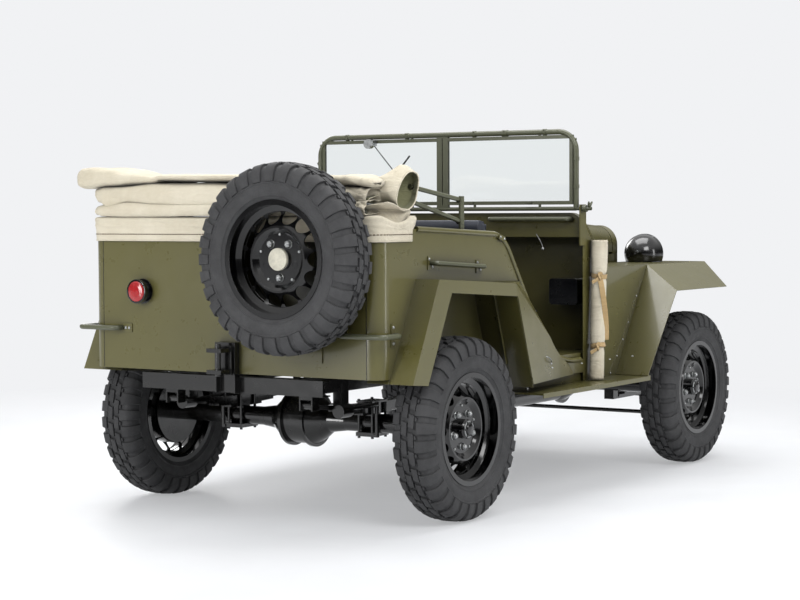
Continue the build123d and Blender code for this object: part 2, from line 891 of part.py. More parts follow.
arch_rear_foot = (-1398.0, 565.0)
arch_rear_top = (-1210.0, 950.0)
arch_front_top = (arch_seam_x, 917.0)
arch_front_foot = (-483.0, 487.0)
fender_outline = [arch_rear_foot, arch_rear_top, arch_front_top, arch_front_foot]
arch_opening = [(-1288.0, 562.0), (-1121.0, 896.0), (-613.4, 863.0), (-476.0, 467.0), (-1330.0, 478.0)]


def inset(gap, drop):
    """The wheel box outline moved inward by a gap, with its open foot carried down by a drop."""
    return [
        (arch_rear_foot[0] + gap * 1.11 - drop * 0.49, arch_rear_foot[1] - drop),
        (arch_rear_top[0] + gap * 0.62, arch_rear_top[1] - gap * 1.06),
        (arch_front_top[0] - gap * 0.76, arch_front_top[1] - gap * 1.02),
        (arch_front_foot[0] - gap * 1.06 + drop * 0.3465, arch_front_foot[1] - drop),
    ]


def door_edge_x(z, back):
    """Place of the door cut's straight slant at a height, moved behind it by a distance."""
    run = door_low_x - door_top_x
    fall = side_top_front_z - door_bottom_z
    return door_top_x + run * (side_top_front_z - z) / fall - back * math.hypot(run, fall) / fall


def door_route(x0, x1):
    """The body side's top edge and door cut, as a line of straight runs and two bends."""
    points = [(x0, top_edge_z(x0)), (door_top_x, side_top_front_z)]
    points += [(door_low_x, door_bottom_z), (x1, door_bottom_z)]
    return points


# ---- floor, sills and wheel boxes ----
tunnel_half = 125.0
tunnel_top_z = 700.0
sill_half = body_half_width - sheet / 2 - bead_tube - 1
floor_top_z = body_bottom_z + sheet
with BuildPart() as body_floor:
    inner_y = body_half_width - sheet
    with BuildSketch(Plane.XY.offset(body_bottom_z)) as floor_outline:
        with Locations(((body_rear_x + sheet + firewall_x) / 2, 0)):
            Rectangle(firewall_x - body_rear_x - sheet, 2 * inner_y)
        fillet(floor_outline.vertices().group_by(Axis.X)[0], body_corner - sheet)
    extrude(amount=sheet)
    for side in (-1, 1):
        low, high = sorted((side * sill_half, side * body_half_width))
        trim_x = (arch_front_foot[0] + 6, firewall_x + 1)
        block(trim_x, (low, high), (body_bottom_z - 1, floor_top_z + 1), Mode.SUBTRACT)
    for x in (-1300.0, -500.0):
        block((x - 30, x + 30), (-rail_outer_y, rail_outer_y), (frame_top_z, body_bottom_z))
    block((transfer_x[0] - 20, firewall_x), (-tunnel_half, tunnel_half), (body_bottom_z, tunnel_top_z))
    block(
        (transfer_x[0] - 20 + sheet, firewall_x + 1),
        (sheet - tunnel_half, tunnel_half - sheet),
        (body_bottom_z - 1, tunnel_top_z - sheet),
        mode=Mode.SUBTRACT,
    )
    for side in (-1, 1):
        box_plane = side_plane(inner_y if side > 0 else -wheel_box_y)
        open_plane = side_plane(inner_y + 1 if side > 0 else sheet - wheel_box_y - 2 * sheet)
        plate(box_plane, inset(0, 0), inner_y - wheel_box_y)
        hollow_plane = side_plane(inner_y + 1) if side > 0 else side_plane(-wheel_box_y - sheet)
        plate(hollow_plane, inset(sheet, 30), inner_y + 1 - wheel_box_y - sheet, Mode.SUBTRACT)
        low, high = sorted((side * (sill_half - sheet), side * sill_half))
        block((arch_front_foot[0] + 6, firewall_x), (low, high), (board_top_z, body_bottom_z))
save(body_floor, "body_floor")


# ---- body sides ----
edge_start_x = -1205.0
with BuildPart() as side_left:
    inner_y = body_half_width - sheet
    with BuildSketch(side_plane(body_half_width)) as skin:
        with BuildLine():
            start_x = body_rear_x + body_corner
            edge = FilletPolyline(
                *door_route(start_x, post_rear_x), radius=(door_top_bend, door_low_bend)
            )
            Polyline(
                edge @ 1,
                (post_rear_x, sill_bottom_z),
                (arch_front_foot[0], sill_bottom_z),
                (arch_front_foot[0], body_bottom_z),
                (start_x, body_bottom_z),
                edge @ 0,
            )
        make_face()
    extrude(skin.sketch, amount=sheet)
    with BuildSketch(Plane.XY.offset(body_bottom_z)) as corner_section:
        with Locations((body_rear_x + body_corner, body_half_width - body_corner)):
            Circle(body_corner)
            Circle(body_corner - sheet, mode=Mode.SUBTRACT)
        with Locations((body_rear_x + body_corner / 2, body_half_width - body_corner / 2)):
            Rectangle(body_corner, body_corner, mode=Mode.INTERSECT)
    extrude(corner_section.sketch, amount=side_top_rear_z - body_bottom_z - 3)
    plate(side_plane(body_half_width + 1), inset(12, 90), sheet + 2, Mode.SUBTRACT)
    with BuildLine(mode=Mode.PRIVATE) as bead_route:
        bead_plane = side_plane(body_half_width - sheet / 2)
        bead = FilletPolyline(
            *[
                (x, body_half_width - sheet / 2, z)
                for x, z in door_route(edge_start_x, post_rear_x - 30)
            ],
            radius=(door_top_bend, door_low_bend),
        )
    with BuildSketch(Plane(origin=bead @ 0, z_dir=bead % 0)) as bead_section:
        Circle(bead_tube)
    sweep(bead_section.sketch, path=bead_route.line)
save(side_left, "side_panel_left")

with BuildPart() as side_right:
    add(side_left.part)
    mirror(about=Plane.XZ)
    split(bisect_by=Plane.XZ, keep=Keep.TOP)
save(side_right, "side_panel_right")

with BuildPart() as rear_panel:
    half = body_half_width - body_corner
    block((body_rear_x, body_rear_x + sheet), (-half, half), (body_bottom_z, side_top_rear_z - 3))
save(rear_panel, "rear_panel")


# ---- rear fenders ----
panel_foot = (33.0, 500.0)
panel_foot_y = body_half_width + 12
panel_shoulder = (-406.0, 905.0)


def slanted_cut(shift):
    """Two planes that taper the panel ahead of the wheel arch into the door's edge."""
    seam_top = Vector(arch_front_top[0], rear_fender_y - shift, arch_front_top[1])
    seam_foot = Vector(arch_front_foot[0], rear_fender_y - shift, arch_front_foot[1])
    tip = Vector(panel_foot[0], panel_foot_y - shift, panel_foot[1])
    shoulder = Vector(panel_shoulder[0], body_half_width - shift, panel_shoulder[1])
    cuts = []
    for a, b, c in ((seam_top, seam_foot, tip), (seam_top, tip, shoulder)):
        normal = (b - a).cross(c - a).normalized()
        if normal.Y < 0:
            normal = -normal
        cuts.append(Plane(origin=a, z_dir=normal))
    return cuts


def tapered_panel(shift, grow):
    """A solid behind the slanted panel, drawn larger or smaller for its outside and its hollow."""
    lap = sheet / 2
    lean_in = (arch_front_foot[0] - arch_front_top[0]) / (arch_front_top[1] - arch_front_foot[1])
    seam_low_x = arch_front_foot[0] - lean_in * (panel_foot[1] - arch_front_foot[1])
    with BuildPart(mode=Mode.PRIVATE) as wedge:
        with BuildSketch(side_plane(rear_fender_y)) as face:
            with BuildLine():
                lower = panel_foot[1] + shift
                back = bead_tube + joint_gap + shift
                upper = arch_front_top[1] - shift
                route = FilletPolyline(
                    (arch_front_top[0] + shift - lap, upper),
                    (door_edge_x(upper, back), upper),
                    (door_edge_x(door_bottom_z - back, back), door_bottom_z - back),
                    (post_rear_x, door_bottom_z - back),
                    radius=(1.0, door_low_bend + back),
                )
                Polyline(
                    route @ 1,
                    (post_rear_x, lower),
                    (seam_low_x + shift - lap, lower),
                    route @ 0,
                )
            make_face()
        extrude(face.sketch, amount=rear_fender_y - body_half_width + grow)
        split(bisect_by=Plane.YZ.offset(panel_foot[0] - shift), keep=Keep.BOTTOM)
        for cut in slanted_cut(shift):
            split(bisect_by=cut, keep=Keep.BOTTOM)
    return wedge.part


with BuildPart() as rear_fenders:
    depth = rear_fender_y - body_half_width
    plate(side_plane(rear_fender_y), fender_outline, depth)
    plate(side_plane(rear_fender_y - sheet), inset(sheet, 30), depth, Mode.SUBTRACT)
    plate(side_plane(rear_fender_y + 1), arch_opening, sheet + 2, Mode.SUBTRACT)
    add(tapered_panel(0, 0))
    add(tapered_panel(sheet, 1), mode=Mode.SUBTRACT)
    mirror(about=Plane.XZ)
save(rear_fenders, "rear_fenders")


# ---- running boards ----
board_x = (arch_front_foot[0] + 5, front_fender_foot_x + 25)
with BuildPart() as running_boards:
    board_z = (board_top_z - 8, board_top_z)
    block(board_x, (body_half_width - 60, overall_half_width), board_z)
    block(
        board_x,
        (overall_half_width - sheet, overall_half_width),
        (board_top_z - board_lip, board_top_z),
    )
    for x in (-330.0, 60.0, 420.0):
        reach = (rail_outer_y, overall_half_width - 45)
        block((x - 18, x + 18), reach, (board_z[0] - 8, board_z[0]))
        block((x - 18, x + 18), (rail_outer_y, rail_outer_y + 8), (board_z[0] - 8, frame_top_z - 10))
    mirror(about=Plane.XZ)
save(running_boards, "running_boards")


# ---- front fenders ----
knee_slope = (front_fender_z - board_top_z - sheet) / (front_fender_knee_x - front_fender_foot_x)
outer_knee_x = front_fender_foot_x + (front_fender_edge_z - board_top_z - sheet) / knee_slope
lamp_x = front_fender_tip_x - 225
lamp_y = 427.0
lamp_z = 991.0
lamp_radius = 95.0
apron_low_z = 612.0
shelf_gap = 5.0
valance_y = hood_front_half + shelf_gap + sheet
with BuildPart() as front_fenders:
    shelf_rear_x = firewall_x + sheet
    shell_x = hood_front_x + shell_depth
    near = hood_front_half + shelf_gap
    seam_in = front_panel_y(shelf_rear_x) - sheet - 0.5
    shelf = [
        (shelf_rear_x, hood_side_y(shelf_rear_x) + shelf_gap),
        (hood_front_x, near),
        (front_fender_tip_x, near),
        (front_fender_tip_x, front_fender_seam_y),
        (front_fender_knee_x, front_fender_seam_y),
        (front_fender_knee_x, front_panel_y(front_fender_knee_x) - sheet - 0.5),
        (shelf_rear_x, seam_in),
    ]
    plate(Plane.XY.offset(front_fender_z - sheet), shelf, sheet)
    drop = front_fender_z - front_fender_edge_z
    reach = math.hypot(overall_half_width - front_fender_seam_y, drop)
    slope_plane = Plane(
        origin=(0, front_fender_seam_y, front_fender_z),
        x_dir=(1, 0, 0),
        z_dir=(0, drop / reach, (overall_half_width - front_fender_seam_y) / reach),
    )
    wing = [
        (front_fender_knee_x, 0),
        (front_fender_tip_x, 0),
        (front_fender_tip_outer_x, reach),
        (outer_knee_x, reach),
    ]
    plate(slope_plane, wing, -sheet)
    run = math.hypot(front_fender_knee_x - front_fender_foot_x, front_fender_z - board_top_z - sheet)
    climb = knee_slope / math.hypot(1, knee_slope)
    back_plane = Plane(
        origin=(front_fender_foot_x, 0, board_top_z + sheet),
        x_dir=(0, 1, 0),
        z_dir=(climb, 0, -climb / knee_slope),
    )
    outer_run = (front_fender_edge_z - board_top_z - sheet) / climb
    back = [
        (front_fender_seam_y, 0),
        (front_fender_seam_y, run),
        (overall_half_width, outer_run),
        (overall_half_width, 0),
    ]
    plate(back_plane, back, sheet)
    block(
        (front_fender_foot_x, front_fender_foot_x + 25),
        (front_fender_seam_y, overall_half_width),
        (board_top_z, board_top_z + sheet),
    )
    apron_length = math.hypot(hood_front_x - shelf_rear_x, hood_rear_half - hood_front_half)
    apron = [
        (shelf_rear_x, shelf[0][1]),
        (hood_front_x, near),
        (hood_front_x, near + sheet),
        (shelf_rear_x, shelf[0][1] + sheet),
    ]
    plate(Plane.XY.offset(apron_low_z), apron, hood_low_z - 8 - apron_low_z)
    block((hood_front_x, front_fender_tip_x), (near, near + sheet), (850, front_fender_z))
    lamp_hole = (lamp_x + 4, lamp_y, front_fender_z - 20)
    bar(lamp_hole, (lamp_x + 4, lamp_y, front_fender_z + 20), lamp_radius - 2, Mode.SUBTRACT)
    mirror(about=Plane.XZ)
save(front_fenders, "front_fenders")


# ---- cowl and dashboard ----
with BuildPart() as cowl:
    outside = arch_sketch(
        cross_plane(post_rear_x), body_half_width, cowl_top_z, board_top_z, cowl_shoulder
    )
    extrude(outside, amount=post_front_x - post_rear_x)
    for trim, front_x, mode in ((0, firewall_x + sheet, Mode.ADD), (sheet, firewall_x, Mode.SUBTRACT)):
        ends = [
            arch_sketch(
                cross_plane(x), body_half_width - trim, top - trim, board_top_z - trim, corner - trim
            )
            for x, top, corner in (
                (post_front_x, cowl_top_z, cowl_shoulder),
                (front_x, hinge_z, cowl_front_shoulder),
            )
        ]
        loft(ends, ruled=True, mode=mode)
    inside = arch_sketch(
        cross_plane(post_rear_x - 1),
        body_half_width - sheet,
        cowl_top_z - sheet,
        board_top_z - 1,
        cowl_shoulder - sheet,
    )
    extrude(inside, amount=post_front_x + 1 - post_rear_x, mode=Mode.SUBTRACT)
    wall_half = body_half_width - sheet
    block(
        (firewall_x - 1, firewall_x + sheet + 1),
        (-body_half_width + sheet, body_half_width - sheet),
        (board_top_z - 1, body_bottom_z - 6),
        mode=Mode.SUBTRACT,
    )
    block(
        (firewall_x - 1, firewall_x + sheet + 1),
        (-tunnel_half - 2, tunnel_half + 2),
        (board_top_z - 1, tunnel_top_z + 2),
        mode=Mode.SUBTRACT,
    )
    rear_x = firewall_x + sheet
    panel_run = math.hypot(front_fender_knee_x - rear_x, body_half_width - front_fender_seam_y)
    for side in (-1, 1):
        start = (rear_x, side * body_half_width, 0)
        heading = Vector(
            front_fender_knee_x - rear_x, side * (front_fender_seam_y - body_half_width), 0
        )
        panel_plane = Plane(origin=start, x_dir=heading, z_dir=heading.cross(Vector(0, 0, 1)))
        with BuildSketch(panel_plane) as panel:
            with BuildLine():
                sweep_end = 60.0
                foot = (front_fender_foot_x - rear_x) * panel_run / (front_fender_knee_x - rear_x)
                Polyline(
                    (0, front_fender_z + sweep_end),
                    (-2, front_fender_z + sweep_end),
                    (-2, board_top_z),
                    (foot - joint_gap, board_top_z),
                    (foot - joint_gap, board_top_z + sheet),
                    (panel_run - joint_gap, front_fender_z),
                    (sweep_end, front_fender_z),
                )
                RadiusArc((sweep_end, front_fender_z), (0, front_fender_z + sweep_end), -sweep_end)
            make_face()
        extrude(panel.sketch, amount=sheet * side)
    for side in (-1, 1):
        low, high = sorted((side * body_half_width, side * (body_half_width + 6)))
        block((screen_x - 14, screen_x + 40), (low, high), (screen_base_z - 160, screen_base_z + 18))
        bar((screen_x, low - 1, screen_base_z), (screen_x, high + 1, screen_base_z), 9, Mode.SUBTRACT)
    bar(column_low, column_high, 24, Mode.SUBTRACT)
    hinge_barrels(cowl_barrels, hinge_radius)
    for side in (-1, 1):
        for low, high in cowl_barrels:
            y = side * hinge_y
            block((firewall_x, hood_rear_x), (y + low, y + high), (hinge_z - 3, hinge_z + 3))
save(cowl, "cowl")

with BuildPart() as dashboard:
    face = arch_sketch(
        cross_plane(post_rear_x + 6),
        body_half_width - sheet,
        cowl_top_z - sheet,
        dash_low_z,
        cowl_shoulder - sheet,
    )
    extrude(face, amount=6)
    rail = (10 - body_half_width, body_half_width - 10)
    block((post_rear_x + 6, post_rear_x + 40), rail, (dash_low_z, dash_low_z + 5))
    gauges = (driver_y - 150, driver_y + 150)
    block((post_rear_x - 4, post_rear_x + 6), gauges, (dash_low_z + 8, dash_low_z + 88))
save(dashboard, "dashboard")

with BuildPart() as dash_box:
    block((firewall_x - 100, firewall_x), (60 - body_half_width, 200 - body_half_width), (790, 905))
    fillet(dash_box.edges().filter_by(Axis.X), 14)
save(dash_box, "dash_box")


# ---- windscreen ----
screen_centre = 60.0
screen_bar = 16.0
pane_thick = 14.0
with BuildPart() as windscreen_frame:
    leg_y = screen_half - screen_tube
    head_z = screen_top_z - screen_tube
    hoop = [
        (screen_x, -leg_y, screen_base_z),
        (screen_x, -leg_y, head_z),
        (screen_x, leg_y, head_z),
        (screen_x, leg_y, screen_base_z),
    ]
    bent_tube(hoop, screen_corner, screen_tube)
    rail_z = screen_base_z
    bar((screen_x, -leg_y, rail_z), (screen_x, leg_y, rail_z), screen_rail)
    pane_low = rail_z + 2 * screen_rail
    pane_high = head_z - screen_tube - screen_gap
    pane_half = leg_y - screen_tube - screen_gap
    block(
        (screen_x - 8, screen_x + 8),
        (-screen_centre / 2, screen_centre / 2),
        (rail_z, head_z),
    )
    for side in (-1, 1):
        low, high = sorted((side * (screen_centre / 2 - 1), side * pane_half))
        block(
            (screen_x - pane_thick / 2, screen_x + pane_thick / 2),
            (low, high),
            (pane_low, pane_high),
        )
    for side in (-1, 1):
        low, high = sorted(
            (side * (screen_centre / 2), side * (pane_half - screen_bar))
        )
        block(
            (screen_x - 8, screen_x + 8),
            (low, high),
            (pane_low + screen_bar, pane_high - screen_bar),
            mode=Mode.SUBTRACT,
        )
        for z in (pane_low + 20, (pane_low + pane_high) / 2, pane_high - 20):
            bar((screen_x, side * (pane_half - 4), z), (screen_x, side * leg_y, z), 6)
        for y in (0.25, 0.75):
            reach_y = side * pane_half * y
            bar((screen_x, reach_y, pane_high - 4), (screen_x, reach_y, head_z), 6)
            bar((screen_x, reach_y, rail_z), (screen_x, reach_y, pane_low + 4), 6)
    block((screen_x - 9, screen_x + 9), (-screen_gap, screen_gap), (pane_low, pane_high), Mode.SUBTRACT)
    for side in (-1, 1):
        pin_end = side * (body_half_width + 52)
        bar((screen_x, side * leg_y, screen_base_z), (screen_x, pin_end, screen_base_z), 8)
        nut_y = side * (body_half_width + 13)
        bar((screen_x, nut_y, screen_base_z), (screen_x, side * (body_half_width + 30), screen_base_z), 15)
save(windscreen_frame, "windscreen_frame")

with BuildPart() as windscreen_glass:
    for side in (-1, 1):
        low, high = sorted((side * (screen_centre / 2), side * (pane_half - screen_bar)))
        block(
            (screen_x - 2.5, screen_x + 2.5),
            (low, high),
            (pane_low + screen_bar, pane_high - screen_bar),
        )
save(windscreen_glass, "windscreen_glass")

with BuildPart() as wiper_motor:
    motor_y = 390.0
    motor_x = screen_x - pane_thick / 2
    motor_z = pane_high - 18
    bar((motor_x, motor_y, motor_z), (motor_x - 27, motor_y, motor_z), 22)
    block((motor_x - 33, motor_x), (motor_y - 34, motor_y + 10), (motor_z - 10, motor_z + 16))
save(wiper_motor, "wiper_motor")


# ---- seats ----
seat_y = (250.0, body_half_width - 40)
seat_x = (-520.0, -35.0)
seat_z = (655.0, 790.0)
back_top_z = 1175.0
with BuildPart() as seat_frames:
    for side in (-1, 1):
        low, high = sorted((side * (seat_y[0] + 30), side * (seat_y[1] - 70)))
        block((seat_x[0] + 20, seat_x[1] - 60), (low, high), (floor_top_z, seat_z[0]))
        block(
            (seat_x[0] + 22, seat_x[1] - 62),
            (low + 2, high - 2),
            (floor_top_z - 1, seat_z[0] - 2),
            mode=Mode.SUBTRACT,
        )
save(seat_frames, "seat_frames")

with BuildPart() as front_seats:
    for side in (-1, 1):
        low, high = sorted((side * seat_y[0], side * (seat_y[1] - 70)))
        block(seat_x, (low, high), seat_z)
    fillet(front_seats.edges().filter_by(Axis.Y), 40)
    for side in (-1, 1):
        back = [
            (seat_x[0] - 4, seat_z[0] + 20),
            (seat_x[0] - 4, seat_z[1] - 30),
            (seat_x[0] - 70, back_top_z - 20),
            (seat_x[0] - 90, back_top_z),
            (seat_x[0] - 140, back_top_z),
            (seat_x[0] - 155, back_top_z - 30),
            (seat_x[0] - 90, seat_z[0] + 20),
        ]
        low, high = sorted((side * (seat_y[0] + 5), side * (seat_y[1] - 5)))
        plate(side_plane(high), back, high - low)
        low, high = sorted((side * (wheel_box_y - 6), side * seat_y[1]))
        block((seat_x[0] - 160, seat_x[0]), (low, high), (seat_z[0], 940), Mode.SUBTRACT)
save(front_seats, "front_seats")

rear_seat_x = (-1300.0, -790.0)
rear_seat_z = (690.0, 800.0)
rear_back_top_z = 1110.0
rear_seat_half = wheel_box_y - 10
with BuildPart() as rear_seat_frame:
    box_half = rear_seat_half - 30
    block((rear_seat_x[0] + 20, rear_seat_x[1] - 40), (-box_half, box_half), (floor_top_z, rear_seat_z[0]))
    block(
        (rear_seat_x[0] + 22, rear_seat_x[1] - 42),
        (2 - box_half, box_half - 2),
        (floor_top_z - 1, rear_seat_z[0] - 2),
        mode=Mode.SUBTRACT,
    )
save(rear_seat_frame, "rear_seat_frame")

with BuildPart() as rear_seat:
    block(rear_seat_x, (-rear_seat_half, rear_seat_half), rear_seat_z)
    fillet(rear_seat.edges().filter_by(Axis.Y), 35)
    rear_back = [
        (rear_seat_x[0] + 60, rear_seat_z[1] + 2),
        (rear_seat_x[0] + 10, rear_back_top_z),
        (rear_seat_x[0] - 70, rear_back_top_z),
        (rear_seat_x[0] - 20, rear_seat_z[1] + 2),
    ]
    plate(side_plane(rear_seat_half), rear_back, 2 * rear_seat_half)
save(rear_seat, "rear_seat")


# ---- steering column, wheel and levers ----
with BuildPart() as steering_column:
    bar(column_high, column_low, 19)
    box_z = (frame_bottom_z, column_low[2] + 20)
    block((column_low[0] - 60, column_low[0] + 50), (rail_outer_y, driver_y + 32), box_z)
save(steering_column, "steering_column")

with BuildPart() as steering_wheel:
    wheel_plane = Plane(origin=wheel_centre, x_dir=(0, 1, 0), z_dir=(lean[0], 0, -lean[1]))
    with BuildSketch(Plane(origin=wheel_centre, x_dir=(0, 1, 0), z_dir=wheel_plane.y_dir)) as ring:
        with Locations((steering_wheel_radius, 0)):
            Circle(11)
    revolve(ring.sketch, axis=Axis(wheel_plane.origin, wheel_plane.z_dir))
    bar(on_column(-14), on_column(34), 30)
    for turn in (90, 210, 330):
        across_y = math.cos(math.radians(turn)) * steering_wheel_radius
        up = math.sin(math.radians(turn)) * steering_wheel_radius
        rim_point = wheel_plane.from_local_coords(Vector(across_y, up, 0))
        bar(on_column(10), (rim_point.X, rim_point.Y, rim_point.Z), 8)
save(steering_wheel, "steering_wheel")

with BuildPart() as levers_and_pedals:
    for base, tip, size in (
        ((180, 0, tunnel_top_z), (60, 0, 960), 9),
        ((120, -70, tunnel_top_z), (90, -80, 850), 7),
        ((90, 80, tunnel_top_z), (-20, 80, 900), 8),
    ):
        bar((base[0], base[1], base[2]), (base[0], base[1], base[2] + 14), 22)
        bar((base[0], base[1], base[2] + 8), tip, size)
        knob = Vector(*tip)
        turned(
            Plane(origin=knob, x_dir=(1, 0, 0), z_dir=(0, -1, 0)),
            [(0, -19), (13, -14), (19, 0), (13, 14), (0, 19)],
        )
    for y in (230.0, 320.0, 455.0):
        bar((firewall_x, y, 700), (firewall_x - 90, y, 700), 8)
        block((firewall_x - 98, firewall_x - 84), (y - 30, y + 30), (668, 738))
save(levers_and_pedals, "levers_and_pedals")


# ---- spare carrier ----
disc_back_x = spare_x - disc_face + disc_thickness
with BuildPart() as spare_carrier:
    plate_x = (body_rear_x - 6, body_rear_x)
    block(plate_x, (spare_y - 80, spare_y + 80), (spare_z - 393, spare_z + 54))
    bar((plate_x[0] + 2, spare_y, spare_z), (disc_back_x, spare_y, spare_z), 52)
    bar((disc_back_x + 10, spare_y, spare_z), (disc_back_x, spare_y, spare_z), 92)
    bar((disc_back_x, spare_y, spare_z), (disc_back_x - 16, spare_y, spare_z), hub_radius - joint_gap)
    for z in (spare_z - 331, spare_z - 71):
        for dy in (-62, 62):
            bar((body_rear_x, spare_y + dy, z), (plate_x[0] - 6, spare_y + dy, z), 9)
save(spare_carrier, "spare_carrier")


# ---- lamps ----
tail_y = 433.0
tail_z = 893.0
with BuildPart() as tail_lamp:
    bar((body_rear_x, tail_y, tail_z), (body_rear_x - 34, tail_y, tail_z), 40)
    bar((body_rear_x - 28, tail_y, tail_z), (body_rear_x - 42, tail_y, tail_z), 48)
    bar((body_rear_x - 38, tail_y, tail_z), (body_rear_x - 43, tail_y, tail_z), 41, Mode.SUBTRACT)
save(tail_lamp, "tail_lamp")

with BuildPart() as tail_lens:
    turned(
        Plane(origin=(body_rear_x - 38, tail_y, tail_z), x_dir=(0, 1, 0), z_dir=(0, 0, 1)),
        [(0, 0), (40, 0), (40, 5), (34, 8), (22, 11.5), (0, 13.5)],
    )
save(tail_lens, "tail_lens")

with BuildPart() as headlamps:
    for side in (-1, 1):
        centre = (lamp_x, side * lamp_y, lamp_z)
        bowl_plane = Plane(origin=centre, x_dir=(0, 1, 0), z_dir=(0, 0, -1))
        with BuildSketch(bowl_plane) as bowl:
            with BuildLine():
                Line((0, -lamp_radius), (0, -lamp_radius + sheet))
                inner = lamp_radius - sheet
                diagonal = math.sqrt(0.5)
                ThreePointArc((0, -inner), (inner * diagonal, -inner * diagonal), (inner, 0))
                Polyline(
                    (lamp_radius - sheet, 0),
                    (lamp_radius - sheet, 20),
                    (lamp_radius + 2, 20),
                    (lamp_radius + 2, 4),
                    (lamp_radius, 0),
                )
                bulge = lamp_radius * diagonal
                ThreePointArc((lamp_radius, 0), (bulge, -bulge), (0, -lamp_radius))
            make_face()
        revolve(bowl.sketch, axis=Axis(bowl_plane.origin, bowl_plane.y_dir))
        arm_x, arm_z = lamp_x - 55, lamp_z - 60
        bar((arm_x, side * valance_y, arm_z), (arm_x, side * (lamp_y - 42), arm_z), 14)
save(headlamps, "headlamps")

with BuildPart() as headlamp_lenses:
    for side in (-1, 1):
        bar((lamp_x + 6, side * lamp_y, lamp_z), (lamp_x + 18, side * lamp_y, lamp_z), lamp_radius - sheet)
save(headlamp_lenses, "headlamp_lenses")


# ---- handles ----
def handle(points, bend, radius):
    """A bent round handle."""
    bent_tube(points, bend, radius)


grab_z = 745.0
grab_out = 38.0
with BuildPart() as grab_handles:
    rear_out = body_rear_x - grab_out
    side_out = body_half_width + grab_out
    corner_grip = [
        (body_rear_x, body_half_width - 158, grab_z),
        (rear_out, body_half_width - 158, grab_z),
        (rear_out, side_out, grab_z),
        (body_rear_x + 85, side_out, grab_z),
        (body_rear_x + 85, body_half_width, grab_z),
    ]
    handle(corner_grip, 24, 10)
    side_grip = [
        (-1110, body_half_width, 1008),
        (-1110, body_half_width + 34, 1008),
        (-750, body_half_width + 34, 986),
        (-750, body_half_width, 986),
    ]
    handle(side_grip, 14, 9)
    mirror(about=Plane.XZ)
    grip_z = cowl_top_z - 27
    dash_grip = [
        (post_rear_x + 6, 60 - body_half_width, grip_z),
        (post_rear_x - 30, 60 - body_half_width, grip_z),
        (post_rear_x - 30, 460 - body_half_width, grip_z),
        (post_rear_x + 6, 460 - body_half_width, grip_z),
    ]
    handle(dash_grip, 18, 10)
save(grab_handles, "grab_handles")


# ---- folded top ----
bundle_x = (-1478.0, -1190.0)
bundle_y = (-body_half_width - 6, body_half_width + 40)
bundle_z = (1153.0, 1380.0)
hem_z = 1093.0
skirt_gap = 2.0
skirt = 4.0
with BuildPart() as canvas_top:
    block(bundle_x, bundle_y, bundle_z)
    fillet(canvas_top.edges().filter_by(Axis.Y), 60)
    with BuildSketch(Plane.XY.offset(hem_z)) as hem:
        out = skirt_gap + skirt
        with Locations((-1229 - (-1229 - body_rear_x + out) / 2, 0)):
            Rectangle(-1229 - body_rear_x + out, 2 * (body_half_width + out))
        fillet(hem.vertices().group_by(Axis.X)[0], body_corner + out)
        with Locations((-1229 - (-1229 - body_rear_x + skirt_gap) / 2 + 1, 0)):
            inner_hem = Rectangle(
                -1229 - body_rear_x + skirt_gap + 2, 2 * (body_half_width + skirt_gap), mode=Mode.SUBTRACT
            )
    extrude(amount=bundle_z[0] + 40 - hem_z)
save(canvas_top, "canvas_top")

link_x = -848.0
with BuildPart() as top_bows:
    foot_z = top_edge_z(link_x)
    post_y = body_half_width - 22
    arm_end_y = body_half_width - 40
    block((link_x - 14, link_x + 14), (post_y, sill_half), (foot_z - 42, 1264))
    block((link_x - 14, link_x + 14), (sill_half, body_half_width - sheet), (foot_z - 42, foot_z - 18))
    for post_z, arm_end_x, arm_end_z in ((1250, bundle_x[1] + 2, 1300), (1165, bundle_x[1] + 3, 1245)):
        bar((link_x, post_y - 2, post_z), (arm_end_x, arm_end_y, arm_end_z), 9)
        bar((link_x, post_y + 10, post_z), (link_x, post_y - 14, post_z), 12)
    mirror(about=Plane.XZ)
save(top_bows, "top_bows")

with BuildPart() as curtain_rolls:
    roll_y = body_half_width + 40
    bar((196, roll_y, board_top_z + 4), (224, roll_y, 1075), 38.5)
    mirror(about=Plane.XZ)
save(curtain_rolls, "curtain_rolls")
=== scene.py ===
import json
import math

import bmesh
import bpy
from mathutils import Matrix, Vector, noise
from mathutils.bvhtree import BVHTree


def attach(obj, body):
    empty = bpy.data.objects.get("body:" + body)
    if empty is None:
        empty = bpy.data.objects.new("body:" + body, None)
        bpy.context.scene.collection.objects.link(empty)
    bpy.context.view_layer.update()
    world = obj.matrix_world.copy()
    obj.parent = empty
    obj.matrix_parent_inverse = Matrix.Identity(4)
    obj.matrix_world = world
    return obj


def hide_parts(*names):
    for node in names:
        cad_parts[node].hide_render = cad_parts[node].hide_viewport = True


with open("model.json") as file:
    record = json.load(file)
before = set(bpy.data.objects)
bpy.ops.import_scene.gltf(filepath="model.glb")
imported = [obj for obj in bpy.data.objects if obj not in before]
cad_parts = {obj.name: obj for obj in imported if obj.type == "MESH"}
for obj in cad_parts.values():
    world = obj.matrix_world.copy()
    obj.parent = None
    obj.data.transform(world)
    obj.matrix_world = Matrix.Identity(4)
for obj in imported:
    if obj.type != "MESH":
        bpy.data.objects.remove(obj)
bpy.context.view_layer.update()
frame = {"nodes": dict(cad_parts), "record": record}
scene = bpy.context.scene
nodes = frame["nodes"]
noise.seed_set(1795472005)  # or the noise vectors would start from the clock


# ---- camera ----
CAMERA_PLACE = (-7.4672, -4.6949, 1.2126)
CAMERA_TURN = (33.024, -2.633, -0.276)  # yaw, pitch and roll in degrees
FOCAL_PIXELS, PHOTO_WIDTH, SENSOR_MM = 1967.0, 800.0, 36.0


